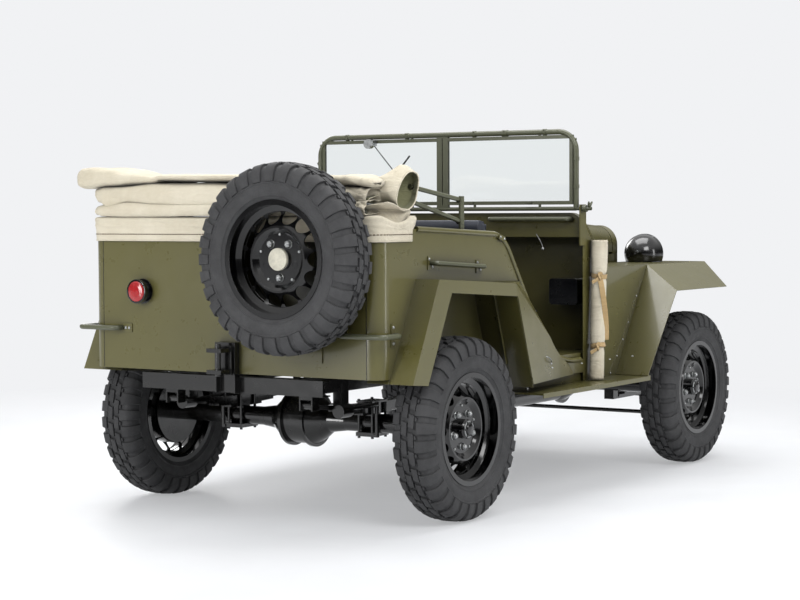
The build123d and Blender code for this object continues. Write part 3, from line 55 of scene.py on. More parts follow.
def add_camera():
    """The photograph's view: the car's right rear, from just above its hood."""
    yaw, pitch, roll = (math.radians(angle) for angle in CAMERA_TURN)
    look = Vector((math.cos(yaw) * math.cos(pitch), math.sin(yaw) * math.cos(pitch), math.sin(pitch)))
    level = look.cross(Vector((0, 0, 1))).normalized()
    above = level.cross(look).normalized()
    right = math.cos(roll) * level + math.sin(roll) * above
    up = -math.sin(roll) * level + math.cos(roll) * above
    data = bpy.data.cameras.new("camera")
    data.sensor_width = SENSOR_MM
    data.lens = FOCAL_PIXELS / PHOTO_WIDTH * SENSOR_MM
    data.clip_end = 100.0
    camera = bpy.data.objects.new("camera", data)
    scene.collection.objects.link(camera)
    turn = Matrix((right, up, -look)).transposed().to_4x4()
    camera.matrix_world = Matrix.Translation(CAMERA_PLACE) @ turn
    scene.camera = camera


add_camera()


# ---- node helpers ----
def srgb(r, g, b):
    """A colour written as 0 to 255 in sRGB, as linear RGBA."""

    def linear(value):
        value /= 255.0
        return value / 12.92 if value <= 0.04045 else ((value + 0.055) / 1.055) ** 2.4

    return (linear(r), linear(g), linear(b), 1.0)


def shade(colour, factor):
    return tuple(c * factor for c in colour[:3]) + (1.0,)


class Tree:
    """A small builder for the nodes of a material or a world."""

    def __init__(self, owner):
        owner.use_nodes = True
        self.tree = owner.node_tree
        self.tree.nodes.clear()

    def feed(self, socket, value):
        """Links an output into a socket, or sets the socket's own value."""
        if isinstance(value, bpy.types.NodeSocket):
            self.tree.links.new(value, socket)
        elif value is not None:
            socket.default_value = value

    def add(self, kind, inputs=(), **settings):
        """A new node with its settings and its (socket, value) inputs."""
        node = self.tree.nodes.new("ShaderNode" + kind)
        for key, value in settings.items():
            setattr(node, key, value)
        for key, value in inputs:
            self.feed(node.inputs[key], value)
        return node

    def ramp(self, value, stops):
        """A colour ramp through (place, colour) stops."""
        node = self.add("ValToRGB", ((0, value),))
        while len(node.color_ramp.elements) < len(stops):
            node.color_ramp.elements.new(0.5)
        for element, (place, colour) in zip(node.color_ramp.elements, stops):
            element.position = place
            element.color = colour if hasattr(colour, "__len__") else (colour,) * 3 + (1.0,)
        return node.outputs[0]

    def tones(self, value, colour, low, high):
        """A ramp between two shades of a colour, each given as (place, factor)."""
        return self.ramp(value, [(place, shade(colour, factor)) for place, factor in (low, high)])

    def math(self, operation, a, b):
        return self.add("Math", ((0, a), (1, b)), operation=operation).outputs[0]


class Nodes(Tree):
    """The nodes of one material round a principled shader."""

    def __init__(self, name):
        self.mat = bpy.data.materials.new(name)
        super().__init__(self.mat)
        self.out = self.add("OutputMaterial").inputs[0]
        self.bsdf = self.add("BsdfPrincipled")
        self.feed(self.out, self.bsdf.outputs[0])
        self.place = self.add("TexCoord").outputs["Object"]

    def set(self, **values):
        """Sets shader inputs; a name's underscores stand for spaces."""
        for key, value in values.items():
            self.bsdf.inputs[key.replace("_", " ")].default_value = value

    def stretch(self, scale):
        """The object coordinates scaled on each axis."""
        return self.add("Mapping", (("Scale", scale), ("Vector", self.place))).outputs[0]

    def noise(self, scale, detail=4.0, rough=0.6, where=None, distortion=0.0):
        inputs = (("Scale", scale), ("Detail", detail), ("Roughness", rough), ("Distortion", distortion))
        return self.add("TexNoise", (*inputs, ("Vector", where or self.place))).outputs["Fac"]

    def wave(self, scale, axis, distortion=0.0):
        inputs = (("Scale", scale), ("Distortion", distortion), ("Detail", 1.0), ("Vector", self.place))
        return self.add("TexWave", inputs, bands_direction=axis).outputs["Fac"]

    def mix(self, factor, a, b, blend="MIX"):
        node = self.add("Mix", data_type="RGBA", blend_type=blend)
        self.feed(node.inputs["Factor"], factor)
        for name, value in (("A", a), ("B", b)):
            self.feed([s for s in node.inputs if s.name == name and s.type == "RGBA"][0], value)
        return [s for s in node.outputs if s.type == "RGBA"][0]

    def height(self):
        """The surface's height above the ground, from the object coordinates."""
        return self.add("SeparateXYZ", ((0, self.place),)).outputs["Z"]

    def bump(self, value, strength, distance, after=None):
        inputs = (("Strength", strength), ("Distance", distance), ("Height", value), ("Normal", after))
        return self.add("Bump", inputs).outputs[0]

    def shaded(self, tone, distance, darkest):
        """The tone, darker in hollows narrower than the distance."""
        hollow = self.add("AmbientOcclusion", (("Distance", distance),), samples=6).outputs["AO"]
        return self.mix(1.0, tone, self.ramp(hollow, [(0.1, darkest), (0.8, 1.0)]), "MULTIPLY")

    def soft_edges(self, radius):
        return self.add("Bevel", (("Radius", radius),), samples=4).outputs[0]

    def finish(self, colour=None, rough=None, normal=None):
        for name, value in (("Base Color", colour), ("Roughness", rough), ("Normal", normal)):
            self.feed(self.bsdf.inputs[name], value)
        return self.mat


def painted(name, colour, low, high, spread=0.08, coat=0.0, dust=0.0, edge=0.0015, specular=0.5):
    """Sprayed paint: slow drift in tone, fine orange peel, rubbed edges, a little dust low down and painted shade
    darkening its hollows.
    """
    n = Nodes(name)
    drift = n.noise(2.2, 3.0)
    tone = n.tones(drift, colour, (0.3, 1 - spread), (0.7, 1 + spread))
    speck = n.noise(160.0, 2.0)
    tone = n.mix(0.05, tone, n.tones(speck, colour, (0.35, 0.8), (0.65, 1.2)))
    if dust:
        level = n.ramp(n.height(), [(0.25, 1.0), (0.75, 0.0)])
        patch = n.math("MULTIPLY", n.math("MULTIPLY", level, n.noise(9.0, 6.0)), dust)
        tone = n.mix(patch, tone, srgb(150, 142, 122))
    # painted shade: the paint darkens to 0.12 of its tone in hollows up to 0.9 m across
    tone = n.shaded(tone, 0.9, 0.12)
    rough = n.ramp(n.noise(14.0, 5.0), [(0.3, low), (0.7, high)])
    peel = n.bump(n.noise(420.0, 2.0), 0.04, 0.0005, n.soft_edges(edge))
    n.set(Coat_Weight=coat, Coat_Roughness=0.08, Specular_IOR_Level=specular)
    return n.finish(tone, rough, peel)


def rubber(name, colour, scale=60.0):
    """Tyre rubber: greyed, dusty in the low spots, faintly grained."""
    n = Nodes(name)
    blotch = n.noise(7.0, 6.0, 0.7)
    grain = n.noise(scale * 6, 3.0)
    tone = n.tones(blotch, colour, (0.3, 0.7), (0.72, 1.35))
    tone = n.mix(0.25, tone, n.tones(grain, colour, (0.4, 0.6), (0.6, 1.6)))
    rough = n.ramp(n.noise(24.0, 4.0), [(0.3, 0.62), (0.7, 0.9)])
    bump = n.bump(grain, 0.25, 0.0008, n.soft_edges(0.0015))
    bump = n.bump(n.noise(scale, 3.0), 0.15, 0.002, bump)
    n.set(Specular_IOR_Level=0.35)
    return n.finish(tone, rough, bump)


def cloth(name, colour, thread=900.0, spread=0.12, warm=(1.0, 0.97, 0.9)):
    """Plain-woven canvas: a fine weave, slubs, soft stains, and painted shade darkening the creases between the
    folds.
    """
    n = Nodes(name)
    stain = n.noise(5.0, 6.0, 0.65)
    darker = tuple(c * (1 - spread * 1.6) * w for c, w in zip(colour[:3], warm)) + (1.0,)
    tone = n.ramp(stain, [(0.28, darker), (0.6, colour), (0.85, shade(colour, 1 + spread * 0.5))])
    slub = n.noise(1.0, 3.0, 0.6, n.stretch((60.0, 60.0, 700.0)))
    tone = n.mix(0.10, tone, n.tones(slub, colour, (0.4, 0.72), (0.6, 1.1)))
    # painted shade: the canvas darkens in the creases between folds
    tone = n.shaded(tone, 0.05, 0.35)
    warp = n.wave(thread, "DIAGONAL", 0.6)
    weft = n.wave(thread, "Z", 0.6)
    weave = n.math("MULTIPLY", warp, weft)
    bump = n.bump(weave, 0.35, 0.0006)
    bump = n.bump(n.noise(38.0, 4.0), 0.3, 0.004, bump)
    bump = n.bump(n.noise(9.0, 3.0, 0.5, n.stretch((1.0, 0.45, 1.9)), 1.2), 0.55, 0.02, bump)
    n.set(Sheen_Weight=0.15, Sheen_Roughness=0.6, Specular_IOR_Level=0.2)
    return n.finish(tone, n.ramp(stain, [(0.2, 0.95), (0.8, 0.82)]), bump)


def leathercloth(name, colour):
    """Coated seat cloth: fine pebble grain, worn shinier on the high spots."""
    n = Nodes(name)
    grain = n.add("TexVoronoi", (("Scale", 330.0), ("Vector", n.place)))
    tone = n.tones(n.noise(6.0, 5.0), colour, (0.3, 0.8), (0.7, 1.2))
    rough = n.ramp(n.noise(11.0, 4.0), [(0.3, 0.42), (0.7, 0.62)])
    bump = n.bump(grain.outputs["Distance"], 0.3, 0.0008)
    return n.finish(tone, rough, n.bump(n.noise(30.0, 3.0), 0.2, 0.003, bump))


def clear(name, tint, rough=0.02):
    n = Nodes(name)
    wipe = n.ramp(n.noise(6.0, 3.0), [(0.4, rough), (0.7, rough * 2)])
    n.set(Base_Color=tint, Transmission_Weight=1.0, IOR=1.45)
    return n.finish(rough=wipe)


def lens(name, colour):
    """Moulded coloured lens plastic with fine ribs inside and a faint painted glow."""
    n = Nodes(name)
    ribs = n.wave(140.0, "Z", 0.0)
    tone = n.tones(ribs, colour, (0.2, 0.7), (0.8, 1.25))
    n.set(Transmission_Weight=0.15, Coat_Weight=0.6, Coat_Roughness=0.05)
    # painted glow: the unlit lens gives off a little of its own red
    n.set(Emission_Color=colour, Emission_Strength=0.12)
    return n.finish(tone, n.ramp(n.noise(30.0), [(0.3, 0.1), (0.7, 0.2)]), n.bump(ribs, 0.2, 0.001))


def bare(name, colour, low=0.3, high=0.5, metal=1.0, scale=50.0):
    """Unpainted or plated metal with fine scratches."""
    n = Nodes(name)
    tone = n.tones(n.noise(scale, 4.0), colour, (0.3, 0.75), (0.7, 1.15))
    rough = n.ramp(n.noise(scale * 2, 5.0), [(0.3, low), (0.7, high)])
    n.set(Metallic=metal)
    return n.finish(tone, rough, n.bump(n.noise(scale * 8, 2.0), 0.15, 0.0005, n.soft_edges(0.001)))


OLIVE = srgb(88, 84, 44)
BLACK = srgb(9, 9, 10)
m_olive = painted("olive_paint", OLIVE, 0.26, 0.36, 0.05, 0.3)
m_olive_dark = painted("screen_paint", srgb(80, 82, 62), 0.32, 0.45, 0.05, 0.1)
m_chassis = painted("chassis_black", BLACK, 0.14, 0.3, 0.2, 0.5, 0.04)
m_wheel = painted("wheel_black", srgb(4, 4, 5), 0.1, 0.16, 0.15, 0.6, specular=0.3)
m_tyre = rubber("tyre_rubber", srgb(56, 56, 57))
m_canvas = cloth("canvas", srgb(205, 197, 178))
# the canvas darkened for the inner faces of the top's folds, cuff and loop: painted shade inside them
m_canvas_inner_shade = cloth("canvas_inner_shade", srgb(122, 122, 92))
m_webbing = cloth("webbing", srgb(176, 150, 108), 500.0)
m_pale = bare("cover_paint", srgb(186, 182, 166), 0.4, 0.55, 0.1)
m_thread = cloth("thread", srgb(84, 66, 46), 500.0)
m_seat = leathercloth("seat_cloth", srgb(38, 42, 52))
m_glass = clear("glass", (0.93, 0.96, 0.95, 1.0))
m_red = lens("red_lens", (0.36, 0.003, 0.006, 1.0))
m_iron = painted("engine_paint", srgb(70, 76, 70), 0.45, 0.65, 0.1)
m_core = painted("radiator_core", srgb(20, 20, 20), 0.5, 0.7, 0.1)
m_zinc = bare("bare_metal", srgb(170, 172, 172))
m_plastic = painted("black_bakelite", srgb(16, 16, 17), 0.18, 0.3, 0.1, 0.3)

SLOT_MATERIAL = {
    "body_olive": m_olive,
    "chassis_black": m_chassis,
    "wheel_black": m_wheel,
    "tyre": m_tyre,
    "screen_frame": m_olive_dark,
    "glass": m_glass,
    "red_lens": m_red,
    "canvas": m_canvas,
    "seat_cover": m_seat,
    "engine_iron": m_iron,
    "core": m_core,
    "bare_metal": m_zinc,
    "black_plastic": m_plastic,
}
for part in frame["record"]["subparts"]:
    mesh = nodes[part["node"]].data
    mesh.materials.clear()
    mesh.materials.append(SLOT_MATERIAL[part["material_slot"]])


# ---- stage and light ----
BACKDROP = srgb(241, 242, 244)
SKY = (0.97, 0.985, 1.0, 1.0)
FLOOR_RADIUS = 60.0
LAMPS = (  # name, place, aim, width, height, watts
    ("key", (-3.2, -4.6, 4.6), (-0.4, 0, 0.5), 3.2, 2.4, 190.0),
    ("top", (0.4, 0.2, 6.0), (0, 0, 0), 5.0, 4.0, 330.0),
    ("rear", (-6.4, 1.6, 2.0), (-0.8, 0, 0.8), 1.2, 3.4, 150.0),
    ("side", (1.2, -6.6, 1.7), (0, 0, 0.7), 0.9, 3.2, 60.0),
    ("far", (3.5, 5.0, 3.5), (0, 0, 0.7), 2.5, 2.5, 120.0),
)


def turns_of(count):
    """The angles that part a full turn into equal steps."""
    return [math.tau * k / count for k in range(count)]


def add_stage():
    """A pale floor that keeps the car's shadow and runs out to the backdrop's white far from the car."""
    n = Nodes("floor_paint")
    n.set(Specular_IOR_Level=0.35)
    near = n.ramp(n.noise(1.1, 5.0), [(0.3, srgb(226, 228, 231)), (0.7, srgb(236, 237, 239))])
    tone = n.finish(near, n.ramp(n.noise(4.0, 4.0), [(0.3, 0.42), (0.7, 0.6)]))
    distance = n.add("VectorMath", ((0, n.place),), operation="LENGTH").outputs["Value"]
    reach = n.ramp(n.math("DIVIDE", distance, 10.0), [(0.0, 0.38), (0.22, 0.42), (0.52, 1.0)])
    far = n.add("Emission", (("Color", BACKDROP), ("Strength", 1.0)))
    ray = n.add("LightPath").outputs
    seen = n.math("MAXIMUM", ray["Is Camera Ray"], ray["Is Glossy Ray"])
    share = n.math("MULTIPLY", reach, n.math("MAXIMUM", seen, ray["Is Transmission Ray"]))
    pick = n.add("MixShader", ((0, share), (1, n.bsdf.outputs[0]), (2, far.outputs[0])))
    n.feed(n.out, pick.outputs[0])
    mesh = bpy.data.meshes.new("floor")
    edge = [(FLOOR_RADIUS * math.cos(a), FLOOR_RADIUS * math.sin(a), 0) for a in turns_of(48)]
    mesh.from_pydata(edge, [], [tuple(range(48))])
    mesh.materials.append(tone)
    floor = bpy.data.objects.new("floor", mesh)
    scene.collection.objects.link(floor)


def add_world():
    """Soft light from all round, dark walls for the gloss and a plain pale view behind the car."""
    world = bpy.data.worlds.new("world")
    n = Tree(world)
    soft = n.add("Background", ((0, SKY), (1, 0.5)))
    seen = n.add("Background", ((0, BACKDROP), (1, 1.0)))
    level = n.add("SeparateXYZ", ((0, n.add("TexCoord").outputs["Generated"]),)).outputs["Z"]
    room = n.add("Background", ((0, n.ramp(level, [(0.18, 0.07), (0.62, 1.0)])),))
    ray = n.add("LightPath").outputs
    plain = n.math("MAXIMUM", ray["Is Camera Ray"], ray["Is Transmission Ray"])
    gloss = n.add("MixShader", ((0, ray["Is Glossy Ray"]), (1, soft.outputs[0]), (2, room.outputs[0])))
    pick = n.add("MixShader", ((0, plain), (1, gloss.outputs[0]), (2, seen.outputs[0])))
    n.add("OutputWorld", ((0, pick.outputs[0]),))
    scene.world = world


def add_lamps():
    for name, place, aim, width, height, power in LAMPS:
        data = bpy.data.lights.new(name, "AREA")
        data.shape = "RECTANGLE"
        data.size = width
        data.size_y = height
        data.energy = power
        lamp = bpy.data.objects.new(name, data)
        scene.collection.objects.link(lamp)
        lamp.location = place
        lamp.rotation_euler = (Vector(aim) - Vector(place)).to_track_quat("-Z", "Y").to_euler()


add_stage()
add_world()
add_lamps()
scene.view_settings.view_transform = "Standard"

# ---- mesh helpers ----
LEAST_RADIUS = 0.00005


def new_object(name, mesh, material, body, slot, replaces=()):
    """Links a finished mesh, gives it its material and rides it on a body."""
    mesh.materials.append(material)
    obj = bpy.data.objects.new(name, mesh)
    scene.collection.objects.link(obj)
    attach(obj, body)
    if replaces:
        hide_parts(*replaces)
    return obj


def about(axis):
    """An axis as a unit vector, with two unit vectors square to it and to each other."""
    axis = Vector(axis).normalized()
    across = axis.orthogonal().normalized()
    return axis, across, axis.cross(across)


def circle(centre, across, over, radius, angles):
    return [centre + radius * (math.cos(a) * across + math.sin(a) * over) for a in angles]


def skin(rows, count, closed):
    """The quads between rows of points that are numbered row by row."""
    faces = []
    for i in range(rows - 1):
        for j in range(count if closed else count - 1):
            k = (j + 1) % count
            faces.append((i * count + j, i * count + k, (i + 1) * count + k, (i + 1) * count + j))
    return faces


class Shape:
    """Collects vertices and faces of one mesh."""

    def __init__(self):
        self.verts = []
        self.faces = []
        self.smooth = []

    def add(self, verts, faces, smooth=True):
        base = len(self.verts)
        self.verts += [tuple(v) for v in verts]
        self.faces += [tuple(base + i for i in f) for f in faces]
        self.smooth += [smooth] * len(faces)

    def tube(self, rings, caps=True, smooth=True):
        """Skins a row of closed rings, each with the same number of points."""
        count = len(rings[0])
        faces = skin(len(rings), count, True)
        if caps:
            faces.append(tuple(reversed(range(count))))
            faces.append(tuple((len(rings) - 1) * count + j for j in range(count)))
        self.add([v for ring in rings for v in ring], faces, smooth)

    def bar(self, start, end, radius, sides=12, end_radius=None):
        start, end = Vector(start), Vector(end)
        _, across, over = about(end - start)
        ends = ((start, radius), (end, end_radius or radius))
        self.tube([circle(centre, across, over, r, turns_of(sides)) for centre, r in ends])

    def lathe(self, centre, axis, profile, sides=24):
        """Turns (place along the axis, radius) points about an axis."""
        axis, across, over = about(axis)
        rings = []
        for along, r in profile:
            middle = Vector(centre) + axis * along
            rings.append(circle(middle, across, over, max(r, LEAST_RADIUS), turns_of(sides)))
        self.tube(rings, caps=False)

    def box(self, x, y, z):
        verts = [(a, b, c) for a in x for b in y for c in z]
        faces = [(0, 1, 3, 2), (4, 6, 7, 5), (0, 4, 5, 1), (2, 3, 7, 6), (0, 2, 6, 4), (1, 5, 7, 3)]
        self.add(verts, faces, False)

    def along(self, path, first, section, caps, smooth):
        """Carries a section along points; first gives its starting direction across the path."""
        path = [Vector(p) for p in path]
        rings, across = [], None
        for i, point in enumerate(path):
            ahead = (path[min(i + 1, len(path) - 1)] - path[max(i - 1, 0)]).normalized()
            across = first(ahead).normalized() if across is None else across
            across = (across - ahead * across.dot(ahead)).normalized()
            rings.append(section(point, across, ahead.cross(across), i / (len(path) - 1)))
        self.tube(rings, caps, smooth)

    def cord(self, path, radius, sides=10):
        """A round section along points; its radius may be a function of the share of the path."""

        def section(point, across, over, share):
            r = radius(share) if callable(radius) else radius
            return circle(point, across, over, r, turns_of(sides))

        self.along(path, lambda ahead: ahead.orthogonal(), section, True, True)

    def strap(self, path, width, thickness, up, caps=True):
        """A flat section along points, its thickness towards up."""
        w, t = width / 2, thickness / 2

        def section(point, across, over, share):
            return [point + across * a + over * b for a, b in ((-w, -t), (w, -t), (w, t), (-w, t))]

        self.along(path, lambda ahead: ahead.cross(Vector(up)), section, caps, False)

    def hexagon(self, centre, axis, across_flats, thickness):
        axis, side, over = about(axis)
        r = across_flats / math.sqrt(3)
        rings = []
        for along, scale in ((0, 1), (thickness * 0.85, 1), (thickness, 0.9)):
            rings.append(circle(Vector(centre) + axis * along, side, over, r * scale, turns_of(6)))
        self.tube(rings, smooth=False)

    def mesh(self, name):
        mesh = bpy.data.meshes.new(name)
        mesh.from_pydata(self.verts, [], self.faces)
        mesh.polygons.foreach_set("use_smooth", self.smooth)
        work = bmesh.new()
        work.from_mesh(mesh)
        bmesh.ops.recalc_face_normals(work, faces=work.faces)
        work.to_mesh(mesh)
        work.free()
        return mesh

    def place(self, name, material, body, slot, angle=35.0):
        mesh = self.mesh(name)
        if angle:
            mesh.set_sharp_from_angle(angle=math.radians(angle))
        return new_object(name, mesh, material, body, slot)


# ---- tyres ----
TYRE_RADIUS = 0.361
LUGS = 32
LUG_RISE = 0.011
LUG_BEVEL = 0.0016
LUG_ROOT = -0.004
TREAD = TYRE_RADIUS - LUG_RISE
CARCASS = [  # (radius, place across), from the middle of the tread to the bead
    (TREAD, 0.0), (TREAD - 0.0005, 0.02), (TREAD - 0.002, 0.042), (TREAD - 0.006, 0.058),
    (TREAD - 0.014, 0.069), (TREAD - 0.028, 0.0765), (TREAD - 0.045, 0.0795), (0.297, 0.0805),
    (0.290, 0.0815), (0.2865, 0.0845), (0.283, 0.0845), (0.2795, 0.0818), (0.268, 0.0825),
    (0.256, 0.0818), (0.246, 0.0790), (0.2405, 0.0778), (0.238, 0.0790), (0.2355, 0.0785),
    (0.233, 0.0745), (0.2285, 0.0715), (0.2245, 0.0700), (0.2225, 0.0675), (0.2205, 0.0665),
    (0.2065, 0.0655), (0.2065, 0.048),
]
INNER_WALL = [(0.222, 0.046), (0.26, 0.068), (0.31, 0.066), (0.335, 0.04), (0.338, 0.0)]
SHOULDER = [
    (TREAD - 0.002, 0.045), (TREAD - 0.006, 0.058), (TREAD - 0.0125, 0.0665), (TREAD - 0.026, 0.0742),
    (TREAD - 0.042, 0.0775), (0.2945, 0.0785), (0.2885, 0.0795),
]
MIDDLE_BLOCK = [(TREAD, 0.0035), (TREAD, 0.012), (TREAD - 0.0005, 0.0205), (TREAD - 0.0008, 0.0268)]
BRIDGE = [(TREAD - 0.001, 0.0295), (TREAD - 0.002, 0.036)]
ROAD_NUTS = (54, 126, 198, 270, 342)
WHEELS = {  # centre, outward direction, body, the tread's turn, the nuts' angles
    "front_left": ((1.143, 0.723, 0.361), (0, 1, 0), "wheel_front_left", 0.35, ROAD_NUTS),
    "front_right": ((1.143, -0.723, 0.361), (0, -1, 0), "wheel_front_right", 0.8, ROAD_NUTS),
    "rear_left": ((-0.957, 0.723, 0.361), (0, 1, 0), "wheel_rear_left", 1.3, ROAD_NUTS),
    "rear_right": ((-0.957, -0.723, 0.361), (0, -1, 0), "wheel_rear_right", 0.1, ROAD_NUTS),
    "spare": ((-1.589, -0.3617, 1.031), (-1, 0, 0), "chassis", 0.6, (54, 126, 270)),
}


def lug(shape, path, start, width, rise, side, lean=0.0, taper=1.0):
    """One tread block that follows a path of (radius, across) points towards the sidewall.

    start is its middle angle and width its angular half-width at the crown."""
    bevel = LUG_BEVEL / TYRE_RADIUS
    rings = []
    for i, (r, w) in enumerate(path):
        share = i / (len(path) - 1)
        before, after = path[max(i - 1, 0)], path[min(i + 1, len(path) - 1)]
        run = Vector((after[0] - before[0], after[1] - before[1])).normalized()
        half = width * (1 + (taper - 1) * share)
        lift = rise - (LUG_BEVEL if i in (0, len(path) - 1) else 0.0)
        ring = []
        for offset, level in (
            (-half, LUG_ROOT), (-half, lift - LUG_BEVEL), (-half + bevel, lift),
            (half - bevel, lift), (half, lift - LUG_BEVEL), (half, LUG_ROOT),
        ):
            angle = start + lean * share + offset
            radius = r + run.y * level
            ring.append(Vector((radius * math.cos(angle), (w - run.x * level) * side, radius * math.sin(angle))))
        rings.append(ring)
    shape.tube(rings, smooth=False)


def tyre_mesh():
    """A bar-tread field tyre about the Y axis: carcass, shoulder lugs and two rows of staggered blocks."""
    shape = Shape()
    section = [(r, -w) for r, w in reversed(CARCASS)] + CARCASS[1:]
    section += INNER_WALL + [(r, -w) for r, w in reversed(INNER_WALL[:-1])]
    rings = [[Vector((r * math.cos(a), w, r * math.sin(a))) for r, w in section] for a in turns_of(144)]
    shape.tube(rings + rings[:1], caps=False)
    pitch = math.tau / LUGS
    for side in (1, -1):
        for k in range(LUGS):
            start = k * pitch + (0 if side > 0 else pitch / 2)
            reach = 0.038 if k % 2 else 0.030
            path = [(TREAD - 0.0008, reach)] + SHOULDER
            lug(shape, path, start, pitch * 0.325, LUG_RISE * 0.92, side, 0.004 * side, 0.9)
            lug(shape, MIDDLE_BLOCK, start + pitch * 0.42, pitch * 0.37, LUG_RISE, side, -0.022 * side)
            lug(shape, BRIDGE, start + pitch * 0.5, pitch * 0.11, LUG_RISE * 0.9, side)
    mesh = shape.mesh("tyre")
    mesh.set_sharp_from_angle(angle=math.radians(32))
    mesh.materials.append(m_tyre)
    return mesh


def add_tyres():
    mesh = tyre_mesh()
    for name, (centre, out, body, spin, _) in WHEELS.items():
        turn = Matrix.Rotation(math.atan2(-out[0], out[1]), 4, "Z")
        obj = bpy.data.objects.new(f"tread_tyre_{name}", mesh)
        obj.matrix_world = Matrix.Translation(centre) @ turn @ Matrix.Rotation(spin, 4, "Y")
        scene.collection.objects.link(obj)
        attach(obj, body)
        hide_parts(f"tyre_{name}")


add_tyres()

# ---- folded canvas top ----
CANVAS_THICK = 0.0022
MOUTH_THICK = 0.003


def clamp(value):
    return max(0.0, min(1.0, value))


def ruffle(point, size, scale=6.0, seed=0.0):
    """A small smooth wander, the same at each run."""
    where = Vector((point[0] * scale + seed, point[1] * scale * 0.55 + 3.7 * seed, point[2] * scale * 1.4))
    return size * noise.noise_vector(where) + 0.35 * size * noise.noise_vector(where * 2.7)


def row_length(row):
    return sum((b - a).length for a, b in zip(row, row[1:]))


def add_sheet(name, rows, thickness=CANVAS_THICK, inside=None, closed=False, flip=False):
    """Skins rows of points as a folded canvas sheet, its inner face of its own material."""
    faces = skin(len(rows), len(rows[0]), closed)
    if flip:
        faces = [tuple(reversed(face)) for face in faces]
    mesh = bpy.data.meshes.new(name)
    mesh.from_pydata([tuple(v) for row in rows for v in row], [], faces)
    mesh.polygons.foreach_set("use_smooth", [True] * len(faces))
    obj = new_object(name, mesh, m_canvas, "chassis", "canvas")
    solid = obj.modifiers.new("thickness", "SOLIDIFY")
    solid.thickness = thickness
    solid.offset = 0.0
    if inside is not None:
        mesh.materials.append(inside)
        solid.material_offset = 1
    if closed:
        rows = [row + [row[0]] for row in rows]
    width = max(row_length(row) for row in rows)
    for row, after in zip(rows, rows[1:]):
        for a, b, c, d in zip(row, row[1:], after, after[1:]):
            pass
    return obj


def spline_at(stops, t):
    """A smooth value through (place, value...) stops."""
    if t <= stops[0][0]:
        return stops[0][1:]
    for (a, *va), (b, *vb) in zip(stops, stops[1:]):
        if t <= b:
            s = (t - a) / (b - a)
            s = s * s * (3 - 2 * s)
            return tuple(x + (y - x) * s for x, y in zip(va, vb))
    return stops[-1][1:]


def cut_corners(points):
    """Each leg of a line shortened to its middle half."""
    cut = []
    for a, b in zip(points, points[1:]):
        cut += [a.lerp(b, 0.25), a.lerp(b, 0.75)]
    return cut


def resample(points, count, loops=2):
    """Points evenly spaced along a line whose corners are cut round."""
    points = [Vector(p) for p in points]
    for _ in range(loops):
        points = [points[0]] + cut_corners(points) + [points[-1]]
    total = row_length(points)
    result, walked, i = [points[0]], 0.0, 0
    for k in range(1, count - 1):
        target = total * k / (count - 1)
        while walked + (points[i + 1] - points[i]).length < target:
            walked += (points[i + 1] - points[i]).length
            i += 1
        step = (points[i + 1] - points[i]).length
        result.append(points[i].lerp(points[i + 1], (target - walked) / step))
    return result + [points[-1]]


def stations(start, end, step):
    count = max(2, round(abs(end - start) / step))
    return [start + (end - start) * k / count for k in range(count + 1)]


UPPER = [  # y, top z, underside z, rear x, front x, squareness
    (-0.668, 1.318, 1.304, -1.440, -1.390, 0.8),
    (-0.640, 1.338, 1.294, -1.462, -1.330, 0.8),
    (-0.560, 1.350, 1.302, -1.476, -1.240, 0.8),
    (-0.100, 1.355, 1.318, -1.478, -1.205, 0.8),
    (0.050, 1.356, 1.321, -1.478, -1.200, 0.8),
    (0.330, 1.361, 1.326, -1.476, -1.196, 0.75),
    (0.372, 1.355, 1.315, -1.474, -1.196, 0.7),
    (0.480, 1.366, 1.313, -1.474, -1.196, 0.6),
    (0.600, 1.386, 1.310, -1.476, -1.196, 0.45),
    (0.700, 1.394, 1.303, -1.480, -1.198, 0.35),
    (0.745, 1.391, 1.300, -1.478, -1.200, 0.35),
    (0.766, 1.378, 1.306, -1.470, -1.210, 0.4),
]
MIDDLE = [  # y, top z, sagging edge z, rear x
    (-0.640, 1.290, 1.235, -1.455),
    (-0.500, 1.306, 1.232, -1.470),
    (-0.100, 1.318, 1.232, -1.474),
    (0.170, 1.321, 1.229, -1.474),
    (0.370, 1.322, 1.234, -1.476),
    (0.503, 1.312, 1.242, -1.474),
    (0.639, 1.310, 1.223, -1.470),
    (0.685, 1.303, 1.246, -1.462),
]
LOWER = [  # y, top z, fold z, rear x
    (-0.640, 1.250, 1.190, -1.466),
    (-0.100, 1.246, 1.190, -1.474),
    (0.110, 1.246, 1.188, -1.476),
    (0.500, 1.250, 1.188, -1.474),
    (0.639, 1.238, 1.190, -1.470),
    (0.662, 1.232, 1.196, -1.464),
]


def upper_section(y):
    """The roll: an oval wound twice, boxier towards the car's left, its free edge on the front."""
    top, low, rear, front, square = spline_at(UPPER, y)
    middle_x, middle_z = (rear + front) / 2, (top + low) / 2
    half_x, half_z = (front - rear) / 2, (top - low) / 2
    points = []
    for k in range(45):
        wound = 1.85 * k / 44
        a = 0.25 - math.tau * wound
        shrink = 0.0065 * max(0.0, wound - 0.05)
        px = math.copysign(abs(math.cos(a)) ** square, math.cos(a))
        pz = math.copysign(abs(math.sin(a)) ** (square * 0.9), math.sin(a))
        x = middle_x + max(0.004, half_x - shrink * 1.6) * px
        points.append((x, middle_z + max(0.003, half_z - shrink) * pz))
    return points


def end_front(y):
    """How far forward the folds reach, drawn back to the gathered end on the car's right."""
    return -1.215 - 0.150 * clamp((-0.560 - y) / 0.045)


def middle_section(y):
    """A flap that falls from under the roll, turns under at its sagging edge and goes back in."""
    top, low, rear = spline_at(MIDDLE, y)
    front = end_front(y)
    return [
        (front, top - 0.004), (max(front, -1.30) / 2 + front / 2, top + 0.001),
        (-1.40, top), (rear + 0.012, top - 0.004),
        (rear - 0.001, top - 0.03), (rear - 0.002, low + 0.03), (rear, low + 0.008), (rear + 0.007, low),
        (rear + 0.018, low + 0.006), (rear + 0.022, low + 0.016), (-1.40, low + 0.026), (front - 0.005, low + 0.034),
    ]


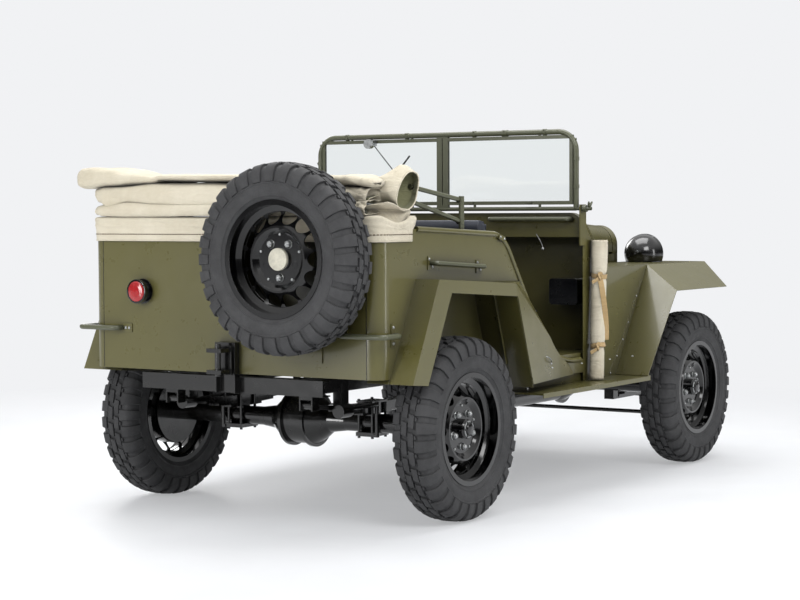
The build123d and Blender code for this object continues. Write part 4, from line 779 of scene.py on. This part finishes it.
def lower_section(y):
    top, low, rear = spline_at(LOWER, y)
    front = end_front(y)
    return [
        (front, top - 0.002), (-1.41, top + 0.002), (rear + 0.012, top - 0.002),
        (rear - 0.002, top - 0.018), (rear - 0.006, (top + low) / 2),
        (rear - 0.003, low + 0.008), (rear + 0.006, low + 0.001), (rear + 0.02, low + 0.003), (-1.40, low + 0.008), (front - 0.003, low + 0.014),
    ]


def skirt_path():
    """The body's outline that the skirt wraps, as (x, y, outward x, outward y)."""
    corner, half, rear, front = 0.060, 0.700, -1.457, -1.216
    bends = [(math.sin(a), math.cos(a)) for a in (math.pi / 2 * k / 8 for k in range(1, 9))]
    path = [(x, -half, 0, -1) for x in stations(front, rear + corner, 0.02)]
    path += [(rear + corner - corner * s, -half + corner - corner * c, -s, -c) for s, c in bends]
    path += [(rear, y, -1, 0) for y in stations(-half + corner, half - corner, 0.02)[1:]]
    path += [(rear + corner - corner * c, half - corner + corner * s, -c, s) for s, c in bends]
    path += [(x, half, 0, 1) for x in stations(rear + corner, front, 0.02)[1:]]
    return path


SKIRT_SECTION = [  # (outward, z)
    (0.0052, 1.0945), (0.0055, 1.118), (0.006, 1.140), (0.008, 1.1515), (0.0095, 1.156), (0.007, 1.161),
    (0.009, 1.172), (0.0105, 1.181), (0.006, 1.1865), (-0.012, 1.189), (-0.045, 1.190),
]


def skirt_rows():
    """The top's lower band round the body, a corner of it turned up loose on the car's right."""
    line = resample([Vector((a, 0, z)) for a, z in SKIRT_SECTION], 30, 1)
    rows = []
    for x, y, ox, oy in skirt_path():
        right = y < 0
        loose = clamp((x + 1.40) / 0.10) if right else 0.0
        dip = 0.030 * math.sin(math.pi * clamp((x + 1.43) / 0.17)) if right else 0.0
        row = []
        for i, p in enumerate(line):
            free = clamp((p.z - 1.135) / 0.03)
            push = p.x + loose * (0.005 + 0.006 * free - min(p.x, 0.004))
            push += 0.0030 * free * noise.noise(Vector((x * 9, y * 7, p.z * 24)))
            push += 0.0016 * (1 - free) * noise.noise(Vector((x * 6 + 3, y * 6, p.z * 11)))
            lift = 0.0025 * free * noise.noise(Vector((x * 4, y * 3.1, 7.0))) - dip * free * (0.4 + 0.6 * i / 29)
            slide = -0.030 * max(0.0, (x + 1.30) / 0.084) * (1 - 0.35 * free) if right and x > -1.30 else 0.0
            row.append(Vector((x + ox * push + slide, y + oy * push, p.z + lift)))
        rows.append(row)
    return rows


PINCH = Vector((-1.40, -0.640, 1.255))


def gather(p):
    """Creases that fan out from where the folds are drawn together at the car's right."""
    reach = clamp((-0.30 - p.y) / 0.28)
    a = math.atan2(p.z - PINCH.z, p.y - PINCH.y)
    wave = math.sin(a * 11 + 1.3 * noise.noise(p * 4)) + 0.6 * math.sin(a * 23 + 2)
    away = min(1.0, (p - PINCH).length / 0.09)
    return Vector((-0.0065 * reach * away * wave, 0, 0.003 * reach * away * wave))


def stitches(shape, line, length, gap, radius):
    """A row of short threads along a line."""
    spots = resample(line, int(row_length(line) / (length + gap) * 2) + 1, 0)
    for a, b in zip(spots[::2], spots[1::2]):
        shape.bar(a, a + (b - a).normalized() * length, radius, 6)


FOLDS = (  # name, section, ends, points across, size and seed of the creases
    ("canvas_roll", upper_section, -0.666, 0.765, 110, 0.0050, 1.0),
    ("canvas_flap", middle_section, -0.640, 0.688, 64, 0.0065, 4.0),
    ("canvas_fold", lower_section, -0.645, 0.668, 60, 0.0055, 9.0),
)


def add_skirt(threads, hems):
    rows = skirt_rows()
    skirt = add_sheet("canvas_skirt", rows)
    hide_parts("canvas_top")
    seam = [min(row, key=lambda p: abs(p.z - 1.118)) for row in rows]
    outward = [Vector((ox, oy, 0)) for _, _, ox, oy in skirt_path()]
    stitches(threads, [p + o * 0.0018 for p, o in zip(seam, outward)], 0.0090, 0.0045, 0.0018)
    hems.cord([row[0] + o * 0.0004 for row, o in zip(rows, outward)], 0.0024, 8)
    hems.cord([row[5] + o * 0.0006 for row, o in zip(rows, outward)], 0.0014, 6)
    hems.cord(rows[0], 0.0022, 8)


def creased(p, name, size, seed):
    """Where a fold's point lies once the cloth has wandered, gathered and slanted."""
    moved = p + ruffle(p, size, 6.0, seed) + gather(p) * (0.5 if name == "canvas_roll" else 1.0)
    if name == "canvas_flap":
        moved.y += max(0.0, (p.y - 0.50) / 0.18) * (p.z - 1.30) * 0.55
    return moved


def add_folds(hems):
    """The roll and the two folds under it."""
    for name, section, low, high, count, size, seed in FOLDS:
        rows = []
        for y in stations(low, high, 0.011):
            row = resample([Vector((x, y, z)) for x, z in section(y)], count)
            rows.append([creased(p, name, size, seed) for p in row])
        roll = name == "canvas_roll"
        # the folds' inner faces take the darkened canvas, painted shade
        add_sheet(name, rows, inside=m_canvas_inner_shade, flip=not roll)
        if not roll:
            hems.cord(rows[-1], 0.0019, 6)


def add_canvas():
    threads, hems = Shape(), Shape()
    add_skirt(threads, hems)
    add_folds(hems)
    rows = cuff_rows()
    # the cuff's and the loop's inner faces take the darkened canvas, painted shade
    add_sheet("canvas_cuff", rows, MOUTH_THICK, m_canvas_inner_shade, closed=True)
    hems.cord(rows[-1] + rows[-1][:2], 0.0028, 8)
    rows = loop_rows()
    add_sheet("canvas_loop", rows, MOUTH_THICK, m_canvas_inner_shade)
    hems.cord(rows[-1], 0.0024, 8)
    threads.place("canvas_stitches", m_thread, "chassis", "canvas")
    hems.place("canvas_hems", m_canvas, "chassis", "canvas", angle=0)


CUFF_RINGS = (
    (-0.595, [
        (-1.385, 1.302), (-1.400, 1.305), (-1.418, 1.300), (-1.428, 1.285), (-1.430, 1.268), (-1.424, 1.250),
        (-1.410, 1.242), (-1.395, 1.242), (-1.384, 1.252), (-1.378, 1.268), (-1.378, 1.286),
    ]),
    (-0.630, [
        (-1.250, 1.345), (-1.290, 1.352), (-1.325, 1.340), (-1.350, 1.306), (-1.356, 1.274), (-1.340, 1.243),
        (-1.298, 1.230), (-1.252, 1.236), (-1.222, 1.256), (-1.206, 1.285), (-1.212, 1.322),
    ]),
    (-0.662, [
        (-1.190, 1.374), (-1.237, 1.381), (-1.278, 1.378), (-1.338, 1.319), (-1.352, 1.263), (-1.308, 1.222),
        (-1.246, 1.215), (-1.204, 1.230), (-1.178, 1.267), (-1.166, 1.309), (-1.168, 1.350),
    ]),
    (-0.697, [
        (-1.202, 1.353), (-1.249, 1.357), (-1.297, 1.330), (-1.333, 1.277), (-1.342, 1.233), (-1.302, 1.207),
        (-1.250, 1.211), (-1.211, 1.237), (-1.194, 1.278), (-1.183, 1.316), (-1.186, 1.339),
    ]),
)


def cuff_rows():
    """The flared end of the roll on the car's right, open towards the side."""
    rows = []
    for k in range(19):
        s = 3 * k / 18
        i = min(2, int(s))
        t = s - i
        (ya, low), (yb, high) = CUFF_RINGS[i], CUFF_RINGS[i + 1]
        ring = [
            Vector((ax + (bx - ax) * t, ya + (yb - ya) * t, az + (bz - az) * t))
            for (ax, az), (bx, bz) in zip(low, high)
        ]
        rows.append([p + ruffle(p, 0.0028 * (1 - 0.2 * s), 12.0, 2.0) for p in closed_smooth(ring, 72)])
    return rows


def closed_smooth(ring, count):
    """A closed ring rounded off and evenly spaced."""
    for _ in range(2):
        ring = cut_corners(ring + ring[:1])
    return resample(ring + ring[:1], count + 1, 0)[:-1]


LOOP_MOUTH = [
    (-1.400, 1.240), (-1.352, 1.232), (-1.318, 1.216), (-1.275, 1.213), (-1.243, 1.212), (-1.262, 1.184),
    (-1.290, 1.160), (-1.325, 1.152), (-1.357, 1.156), (-1.392, 1.172), (-1.425, 1.180),
]
LOOP_ROOT = [
    (-1.440, 1.225), (-1.430, 1.222), (-1.420, 1.218), (-1.410, 1.214), (-1.404, 1.208), (-1.405, 1.202),
    (-1.410, 1.198), (-1.420, 1.196), (-1.430, 1.194), (-1.438, 1.192), (-1.444, 1.190),
]


def loop_rows():
    """The smaller folded mouth below the cuff."""
    rows = []
    for k in range(11):
        s = k / 10
        row = [
            Vector((px + (ox - px) * s, -0.610 - 0.088 * s, pz + (oz - pz) * s))
            for (ox, oz), (px, pz) in zip(LOOP_MOUTH, LOOP_ROOT)
        ]
        rows.append([p + ruffle(p, 0.0025, 11.0, 6.0) for p in resample(row, 40)])
    return rows


add_canvas()

# ---- wheel fittings ----
NUT_CIRCLE, RIVET_CIRCLE, FLANGE_NUT_CIRCLE = 0.069, 0.092, 0.0295
DISC_FACE = 0.024
FLANGE_FACE = 0.052
NUT_WASHER = [(-0.001, 0.0), (-0.001, 0.0165), (0.002, 0.016), (0.0035, 0.0145)]
NUT_DOME = [(0, 0.0095), (0.004, 0.009), (0.0075, 0.0055), (0.0085, 0)]
EMPTY_HOLE = [(-0.001, 0.0155), (0.0012, 0.0155), (0.0012, 0.011), (-0.001, 0.011)]
DISC_RIVET = [(-0.001, 0.0), (-0.001, 0.0055), (0.0025, 0.005), (0.0038, 0.003), (0.0042, 0)]
SPARE_RING = [(0.0, 0.045), (0.003, 0.045), (0.0045, 0.043), (0.0045, 0.0395)]
SPARE_COVER = [(0.0, 0.0), (0.0, 0.042), (0.011, 0.042), (0.0125, 0.0405), (0.013, 0.0)]
FLANGE_RIM = [(0.0, 0.0335), (0.003, 0.0335), (0.0045, 0.0315), (0.0045, 0.0275), (0.001, 0.0255)]
FLANGE_CAP = [(0.0, 0.025), (0.009, 0.0245), (0.0125, 0.021), (0.014, 0.012), (0.0145, 0)]


def add_wheel_fittings():
    """Wheel nuts on each pressed disc, and the drive flange or the spare's cover at its middle."""
    for name, (centre, out, body, _, nuts) in WHEELS.items():
        centre, out = Vector(centre), Vector(out)
        up = Vector((0, 0, 1))
        right = up.cross(out)

        def spot(degrees, radius, along):
            a = math.radians(degrees)
            return centre + radius * (math.cos(a) * right + math.sin(a) * up) + out * along

        bright, dark = Shape(), Shape()
        for degrees in nuts:
            bright.lathe(spot(degrees, NUT_CIRCLE, DISC_FACE), out, NUT_WASHER, 20)
            bright.hexagon(spot(degrees, NUT_CIRCLE, DISC_FACE + 0.002), out, 0.0225, 0.012)
            bright.lathe(spot(degrees, NUT_CIRCLE, DISC_FACE + 0.013), out, NUT_DOME, 16)
        for degrees in ROAD_NUTS:
            if degrees not in nuts:
                dark.lathe(spot(degrees, NUT_CIRCLE, DISC_FACE), out, EMPTY_HOLE, 20)
        for degrees in range(18, 378, 72):
            bright.lathe(spot(degrees, RIVET_CIRCLE, DISC_FACE), out, DISC_RIVET, 12)
        if name == "spare":
            dark.lathe(centre + out * DISC_FACE, out, SPARE_RING, 32)
            cover = Shape()
            cover.lathe(centre + out * (DISC_FACE + 0.005), out, SPARE_COVER, 32)
            cover.place("spare_cover", m_pale, body, "body_olive")
        else:
            bright.lathe(centre + out * (FLANGE_FACE + 0.002), out, FLANGE_RIM, 32)
            dark.lathe(centre + out * FLANGE_FACE, out, FLANGE_CAP, 28)
            for degrees in range(0, 360, 60):
                dark.hexagon(spot(degrees, FLANGE_NUT_CIRCLE, FLANGE_FACE + 0.0035), out, 0.008, 0.0055)
        dark.place(f"hub_dark_{name}", m_wheel, body, "wheel_black")
        bright.place(f"hub_bright_{name}", m_zinc, body, "bare_metal")


add_wheel_fittings()

# ---- rolled side curtains ----
TIE_LOW, TIE_HIGH = 0.612, 0.918
WEB_THICK = 0.0022
KNOT_TAIL = [(0, 0, 0), (-0.012, -0.002, -0.010), (-0.022, -0.012, -0.018), (-0.034, -0.022, -0.026)]
ROLL_LOW, ROLL_HIGH = Vector((0.196, 0.740, 0.4675)), Vector((0.224, 0.740, 1.0750))


def roll_radius(z):
    share = (z - ROLL_LOW.z) / (ROLL_HIGH.z - ROLL_LOW.z)
    radius = 0.0312 + 0.0055 * share
    for tie, depth in ((TIE_LOW, 0.005), (TIE_HIGH, 0.006)):
        radius -= depth * math.exp(-(((z - tie) / 0.017) ** 2))
    return radius


def roll_middle(z):
    return ROLL_LOW.lerp(ROLL_HIGH, (z - ROLL_LOW.z) / (ROLL_HIGH.z - ROLL_LOW.z))


def on_roll(z, a, out):
    """A point off the roll's surface at a height and an angle."""
    return roll_middle(z) + (roll_radius(z) + out) * Vector((math.cos(a), math.sin(a), 0))


def curtain_rows(side):
    turns, pitch = 2.35, 0.0052
    rows = []
    for z in stations(ROLL_LOW.z, ROLL_HIGH.z, 0.0085):
        row = []
        for j in range(100):
            wound = turns * j / 99
            a = 2 * math.pi * wound + 2.4 + 0.12 * math.sin(z * 9)
            r = roll_radius(z) - pitch * (turns - wound)
            r += 0.0016 * noise.noise(Vector((math.cos(a) * 1.6, math.sin(a) * 1.6, z * 13)))
            p = roll_middle(z) + Vector((r * math.cos(a), r * math.sin(a), 0))
            row.append(Vector((p.x, p.y * side, p.z)))
        rows.append(row)
    return rows


def add_straps(band):
    """Two doubled straps round the roll, a slanting one between them, and a bow with a tail at each tie."""
    for tie, lean in ((TIE_LOW, -0.006), (TIE_HIGH, 0.005)):
        for lift in (0.0, 0.0035):
            angles = turns_of(32) + [math.tau]
            path = [on_roll(tie + lean * math.cos(a + 1.2) + lift, a, 0.0028 + lift * 0.4) for a in angles]
            band.strap(path, 0.017, WEB_THICK, (1, 0, 0), caps=False)
    slant = []
    for j in range(25):
        share = j / 24
        slant.append(on_roll(0.905 + (0.640 - 0.905) * share, math.radians(145 - 80 * share), 0.0035))
    band.strap(slant, 0.024, WEB_THICK, (math.cos(2.3), math.sin(2.3), 0))
    for tie in (TIE_LOW, TIE_HIGH):
        knot = roll_middle(tie) + (roll_radius(tie) + 0.006) * Vector((-0.82, 0.57, 0))
        loop = [
            knot + Vector((0.010 * math.cos(a), 0.004 * math.sin(2 * a), 0.014 * math.sin(a)))
            for a in turns_of(14)[:12]
        ]
        band.strap(loop, 0.012, 0.0024, (0, 0, 1))
        tail = [knot + Vector(step) for step in KNOT_TAIL]
        band.strap(resample(tail, 10), 0.016, WEB_THICK, (0, 1, 0))


def add_curtains():
    """A side curtain on each door post, rolled up and tied with webbing."""
    for side, hand in ((1, "left"), (-1, "right")):
        rows = curtain_rows(side)
        sheet = add_sheet(f"curtain_roll_{hand}", rows, inside=m_canvas, flip=side < 0)
        if side > 0:
            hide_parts("curtain_rolls")
        band = Shape()
        add_straps(band)
        band.verts = [(x, y * side, z) for x, y, z in band.verts]
        band.place(f"curtain_ties_{hand}", m_webbing, "chassis", "canvas")


add_curtains()


# ---- seats ----
BLOW_FRAMES = 20
WELT_OFF = 0.02
BACK_DEPTH, BACK_LEAN = 0.12, 0.16
SEATS = (  # node, voxel, how far it is shrunk, how far it may blow up
    ("front_seats", 0.0075, 0.006, 0.013),
    ("rear_seat", 0.0115, 0.007, 0.015),
)


def loose_meshes(node):
    """A node's solids as separate meshes in the shared frame."""
    work = bmesh.new()
    work.from_mesh(nodes[node].data)
    work.transform(nodes[node].matrix_world)
    bmesh.ops.remove_doubles(work, verts=work.verts, dist=0.00002)
    left, found = set(work.verts), []
    for first in work.verts:
        if first not in left:
            continue
        left.discard(first)
        group, edge = set(), [first]
        while edge:
            vert = edge.pop()
            group.add(vert)
            for link in vert.link_edges:
                other = link.other_vert(vert)
                if other in left:
                    left.discard(other)
                    edge.append(other)
        order = {vert: i for i, vert in enumerate(sorted(group, key=lambda v: v.index))}
        faces = [[order[v] for v in face.verts] for face in work.faces if face.verts[0] in group]
        mesh = bpy.data.meshes.new(node)
        mesh.from_pydata([tuple(v.co) for v in order], [], faces)
        found.append(mesh)
    work.free()
    return found


def applied(obj):
    """Puts a copy of the mesh as its modifiers leave it in their place."""
    graph = bpy.context.evaluated_depsgraph_get()
    mesh = bpy.data.meshes.new_from_object(obj.evaluated_get(graph))
    obj.modifiers.clear()
    obj.data = mesh
    return mesh


def blown(obj, start, cap, held):
    """Blows a form up as cloth from its starting points, none of them further than the cap."""
    group = obj.vertex_groups.new(name="held")
    group.add([i for i, p in enumerate(start) if held(p)], 1.0, "REPLACE")
    settings = obj.modifiers.new("cloth", "CLOTH").settings
    settings.use_pressure = True
    settings.uniform_pressure_force = 4.0
    settings.vertex_group_mass = "held"
    settings.effector_weights.gravity = 0.0
    for step in range(1, BLOW_FRAMES + 1):
        scene.frame_set(step)
    mesh = applied(obj)
    scene.frame_set(1)
    for vertex, place in zip(mesh.vertices, start):
        move = vertex.co - place
        if move.length > cap:
            vertex.co = place + move * (cap / move.length)
    round_off = obj.modifiers.new("round", "SUBSURF")
    round_off.levels = 1
    round_off.render_levels = 1
    return applied(obj)


def inflate(name, mesh, voxel, inset, cap, held):
    """A padded form: shrunk a little, then blown up as cloth with its resting side held."""
    obj = bpy.data.objects.new(name, mesh)
    scene.collection.objects.link(obj)
    remesh = obj.modifiers.new("remesh", "REMESH")
    remesh.mode = "VOXEL"
    remesh.voxel_size = voxel
    smooth = obj.modifiers.new("smooth", "SMOOTH")
    smooth.factor = 0.5
    smooth.iterations = 8
    mesh = applied(obj)
    start = [v.co - v.normal * inset for v in mesh.vertices]
    for vertex, place in zip(mesh.vertices, start):
        vertex.co = place
    mesh = blown(obj, start, cap, held)
    mesh.polygons.foreach_set("use_smooth", [True] * len(mesh.polygons))
    mesh.materials.clear()
    mesh.materials.append(m_seat)
    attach(obj, "chassis")
    return obj


def piping(shape, obj, guide, radius=0.0032):
    """A welt that lies on the padded form along the points nearest a guide line."""
    tree = BVHTree.FromPolygons([v.co for v in obj.data.vertices], [p.vertices for p in obj.data.polygons])
    path = []
    for point in resample([Vector(p) for p in guide], 90, 1):
        place, normal, _, _ = tree.find_nearest(point)
        path.append(place + normal * radius * 0.4)
    for _ in range(3):
        path = [path[0]] + [(a + b * 2 + c) / 4 for a, b, c in zip(path, path[1:], path[2:])] + [path[-1]]
    shape.cord(path, radius, sides=8)


def welt_loops(lo, hi, flat):
    """The lines that a cushion's or a back's welts follow, a little way off its box."""
    right, left = lo.y - WELT_OFF, hi.y + WELT_OFF
    foot, top = lo.z - WELT_OFF, hi.z + WELT_OFF
    if flat:
        rear, front = lo.x - WELT_OFF, hi.x + WELT_OFF
        return [[(rear, right, z), (front, right, z), (front, left, z), (rear, left, z)] for z in (top, foot)]
    lean = (hi.x - lo.x - BACK_DEPTH) / (hi.z - lo.z)
    low_x, high_x = hi.x + WELT_OFF, hi.x + WELT_OFF - lean * (top - lo.z)
    return [[(low_x, right, foot), (high_x, right, top), (high_x, left, top), (low_x, left, foot)]]


def add_seats():
    """Front cushions and backs, and the rear bench, each padded, with a welt round its edges."""
    welt = Shape()
    for node, voxel, inset, cap in SEATS:
        for i, mesh in enumerate(loose_meshes(node)):
            lo, hi = (Vector([end(v.co[k] for v in mesh.vertices) for k in range(3)]) for end in (min, max))
            flat = hi.z - lo.z < 0.2
            side = "left" if lo.y > 0 else "right" if hi.y < 0 else "rear"

            def held(p):
                if flat:
                    return p.z < lo.z + 0.014
                return p.x < lo.x + 0.03 + BACK_LEAN * (hi.z - p.z) * 0.9

            obj = inflate(f"{'cushion' if flat else 'seat_back'}_{side}", mesh, voxel, inset, cap, held)
            if i == 0:
                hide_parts(node)
            for loop in welt_loops(lo, hi, flat):
                piping(welt, obj, loop + loop[:2])
    welt.place("seat_welts", m_seat, "chassis", "seat_cover", angle=0)


add_seats()


# ---- bolts, pads and small fittings ----
PLATE_LOW, PLATE_HIGH = 0.001, 0.0035  # how far a plate sinks into the panel and stands off it
BODY_HALF = 0.700
PADS = (  # places (x, z), half sizes, bolts, their radius and height
    (((-1.110, 1.008), (-0.750, 0.986)), (0.020, 0.026), ((-0.011, 0.015), (0.011, -0.015)), 0.0062, 0.0042),
    (((-1.372, 0.745),), (0.014, 0.044), ((0, -0.030), (0, 0.030)), 0.0065, 0.0045),
)
REAR_PAD = (-1.457, 0.542, 0.745)
COWL_SEAM = [
    (0.8000, -0.6567, 0.8795), (0.7372, -0.6622, 0.8084), (0.6348, -0.6711, 0.6926),
    (0.5685, -0.6769, 0.6174), (0.4957, -0.6832, 0.5480), (0.4191, -0.6899, 0.4760),
]
LAMP = Vector((-1.457, 0.433, 0.893))
LAMP_BASE = [(-0.001, 0.0), (-0.001, 0.050), (0.003, 0.050), (0.004, 0.046), (0.004, 0.0)]
LAMP_BEZEL = [(-0.004, 0.0478), (0.0012, 0.0478), (0.0022, 0.046), (0.0022, 0.0415), (-0.003, 0.0405)]
BACK = (-1, 0, 0)


def round_head(shape, place, out, radius, height):
    """A domed rivet or bolt head."""
    dome = [(height * 0.4, radius * 0.95), (height * 0.85, radius * 0.6), (height, 0)]
    shape.lathe(place, out, [(-0.0015, 0.0), (-0.0015, radius)] + dome, 14)


def add_handle_pads(pads, bolts):
    for places, (wide, tall), spots, radius, height in PADS:
        for x, z in places:
            for side in (-1, 1):
                y = BODY_HALF * side
                face = y + side * PLATE_HIGH
                pads.box((x - wide, x + wide), sorted((y - side * PLATE_LOW, face)), (z - tall, z + tall))
                for dx, dz in spots:
                    round_head(bolts, (x + dx, face, z + dz), (0, side, 0), radius, height)
    for side in (-1, 1):
        x, y, z = REAR_PAD[0], REAR_PAD[1] * side, REAR_PAD[2]
        ends = sorted((y + side * 0.014, y - side * 0.052))
        pads.box((x - PLATE_HIGH, x + PLATE_LOW), ends, (z - 0.017, z + 0.017))
        for dy in (0.020, 0.038):
            round_head(bolts, (x - PLATE_HIGH, y - side * dy, z), BACK, 0.0065, 0.0045)


def add_side_details(pads, bolts, side):
    """The cowl's seam strip, a tie hook, the top's latch, and rivets on the sill and the running board."""
    seam = [Vector((x, -y * side, z)) for x, y, z in COWL_SEAM]
    out = Vector((0.087, side, 0)).normalized()
    pads.strap([p + out * 0.0012 for p in seam], 0.016, 0.0024, out)
    for p in seam[1:]:
        round_head(bolts, p + out * 0.0024, out, 0.0048, 0.0034)
    rear, front = Vector((-0.3186, 0.7687 * side, 0.5991)), Vector((-0.2716, 0.7618 * side, 0.5749))
    away = Vector((0.176, 0.983 * side, 0.061))
    hook = [rear - away * 0.002, rear + away * 0.012, front + away * 0.012, front - away * 0.002]
    bolts.cord(resample(hook, 14), 0.0026, 8)
    round_head(bolts, rear.lerp(front, 1.35), away, 0.0055, 0.004)
    latch = Vector((-0.5800, 0.7105 * side, 1.0960))
    arm = Vector((0.024, 0, -0.007))
    pads.strap([latch - arm, latch + arm], 0.020, 0.005, (0, side, 0))
    for dx, dz in ((-0.015, 0.0045), (0.016, -0.005)):
        round_head(bolts, latch + Vector((dx, side * 0.002, dz)), (0, side, 0), 0.0052, 0.005)
    round_head(bolts, (-0.3307, 0.6865 * side, 0.4645), (0, side, 0), 0.008, 0.005)
    for x in (-0.36, -0.10, 0.16, 0.38):
        round_head(bolts, (x, 0.820 * side, 0.5595), (0, 0, 1), 0.0055, 0.003)


def add_fittings():
    """Handle pads, seam strips and their bolts, the spare carrier's bolts and the rear panel's seams."""
    pads, bolts, seams = Shape(), Shape(), Shape()
    add_handle_pads(pads, bolts)
    for side in (1, -1):
        add_side_details(pads, bolts, side)
        seams.box((-1.4576, -1.4560), sorted((0.6385 * side, 0.6410 * side)), (0.584, 1.092))
    for z in (0.700, 0.960):
        for y in (-0.4237, -0.2997):
            bolts.hexagon((-1.4625, y, z), BACK, 0.017, 0.009)
    seams.place("panel_seams", m_plastic, "chassis", "body_olive")
    pads.place("handle_pads", m_olive, "chassis", "body_olive", angle=30)
    bolts.place("body_bolts", m_zinc, "chassis", "bare_metal")


def add_lamp_trim():
    """The tail lamp's base, its bezel and the screws that hold the lens."""
    lamp = Shape()
    lamp.lathe(LAMP, BACK, LAMP_BASE, 32)
    for k in range(3):
        a = math.tau * k / 3 + 0.5
        screw = (-1.5005, LAMP.y + 0.045 * math.cos(a), LAMP.z + 0.045 * math.sin(a))
        round_head(lamp, screw, BACK, 0.003, 0.002)
    lamp.lathe(LAMP - Vector((0.0415, 0, 0)), BACK, LAMP_BEZEL, 36)
    lamp.place("tail_lamp_trim", m_wheel, "chassis", "wheel_black")


# ---- windscreen and dash fittings ----
HOOP_X, HOOP_TOP, HOOP_SIDE = 0.120, 1.548, 0.678
WIPER_SHAFT, WIPER_FOOT = Vector((0.1275, 0.390, 1.5165)), Vector((0.1325, 0.262, 1.375))
WIPER_BLADE = Vector((0, 0.075, -0.083))
CHAIN = [(0.1385, -0.470, 1.1015), (0.1375, -0.486, 1.080), (0.1375, -0.497, 1.060), (0.1375, -0.503, 1.042)]


def clip_profile(wide):
    return [(0, 0.0118), (0, 0.0140), (wide, 0.0140), (wide, 0.0118)]


def add_wing_nut(shape, side):
    hub = Vector((HOOP_X, 0.7285 * side, 1.213))
    shape.bar(hub, hub + Vector((0, 0.0235 * side, 0)), 0.0095, 18, 0.0075)
    for lean in (-1, 1):
        shares = [j / 8 for j in range(9)]
        wing = [hub + Vector((lean * 0.016 * t, side * (0.012 + 0.007 * t), 0.004 + 0.026 * t)) for t in shares]
        shape.cord(wing, lambda t: 0.0032 + 0.0028 * math.sin(math.pi * min(1, t * 0.9 + 0.1)), 8)


def add_windscreen_fittings():
    """Clips round the hoop, a wing nut at each pivot and the wiper's arm and blade."""
    clips, wiper = Shape(), Shape()
    for y, wide in ((0.194, 0.016), (-0.165, 0.016), (-0.323, 0.030), (-0.524, 0.016), (0.524, 0.016)):
        clips.lathe((HOOP_X, y - wide / 2, HOOP_TOP), (0, 1, 0), clip_profile(wide))
        clips.bar((0.113, y, 1.5545), (0.106, y, 1.5585), 0.0035, 10)
    for side in (1, -1):
        for z in (1.430, 1.310):
            clips.lathe((HOOP_X, HOOP_SIDE * side, z - 0.008), (0, 0, 1), clip_profile(0.016))
            clips.bar((0.113, 0.6845 * side, z), (0.107, 0.6885 * side, z), 0.0035, 10)
        add_wing_nut(clips, side)
    for y in (-0.45, -0.15, 0.15, 0.45):
        clips.box((0.108, 0.1125), (y - 0.012, y + 0.012), (1.236, 1.246))
    out = Vector((1, 0, 0))
    wiper.bar(WIPER_SHAFT - out * 0.002, WIPER_SHAFT + out * 0.008, 0.006, 12)
    bend = WIPER_SHAFT.lerp(WIPER_FOOT, 0.3) + out * 0.003
    wiper.cord([WIPER_SHAFT + out * 0.006, bend, WIPER_FOOT + out * 0.001], 0.0026, 8)
    wiper.strap([WIPER_FOOT + WIPER_BLADE, WIPER_FOOT, WIPER_FOOT - WIPER_BLADE], 0.007, 0.004, (1, 0, 0))
    clips.place("screen_clips", m_olive_dark, "windscreen", "screen_frame")
    wiper.place("wiper_arm", m_plastic, "windscreen", "black_plastic")


def add_dash_chain():
    """A short pull chain with a knob under the dash."""
    chain = Shape()
    chain.cord(resample([Vector(p) for p in CHAIN], 16), 0.0016, 6)
    round_head(chain, Vector(CHAIN[-1]) - Vector((0, 0, 0.004)), BACK, 0.007, 0.006)
    chain.place("dash_chain", m_zinc, "chassis", "bare_metal")


def repaint(node, name, material, slot):
    """Shows a node's own form again in the finish of its neighbours."""
    mesh = nodes[node].data.copy()
    mesh.transform(nodes[node].matrix_world)
    mesh.materials.clear()
    new_object(name, mesh, material, "chassis", slot, [node])


add_fittings()
add_lamp_trim()
add_windscreen_fittings()
add_dash_chain()
repaint("running_boards", "board_skin", m_olive, "body_olive")
repaint("spare_carrier", "carrier_skin", m_olive, "body_olive")
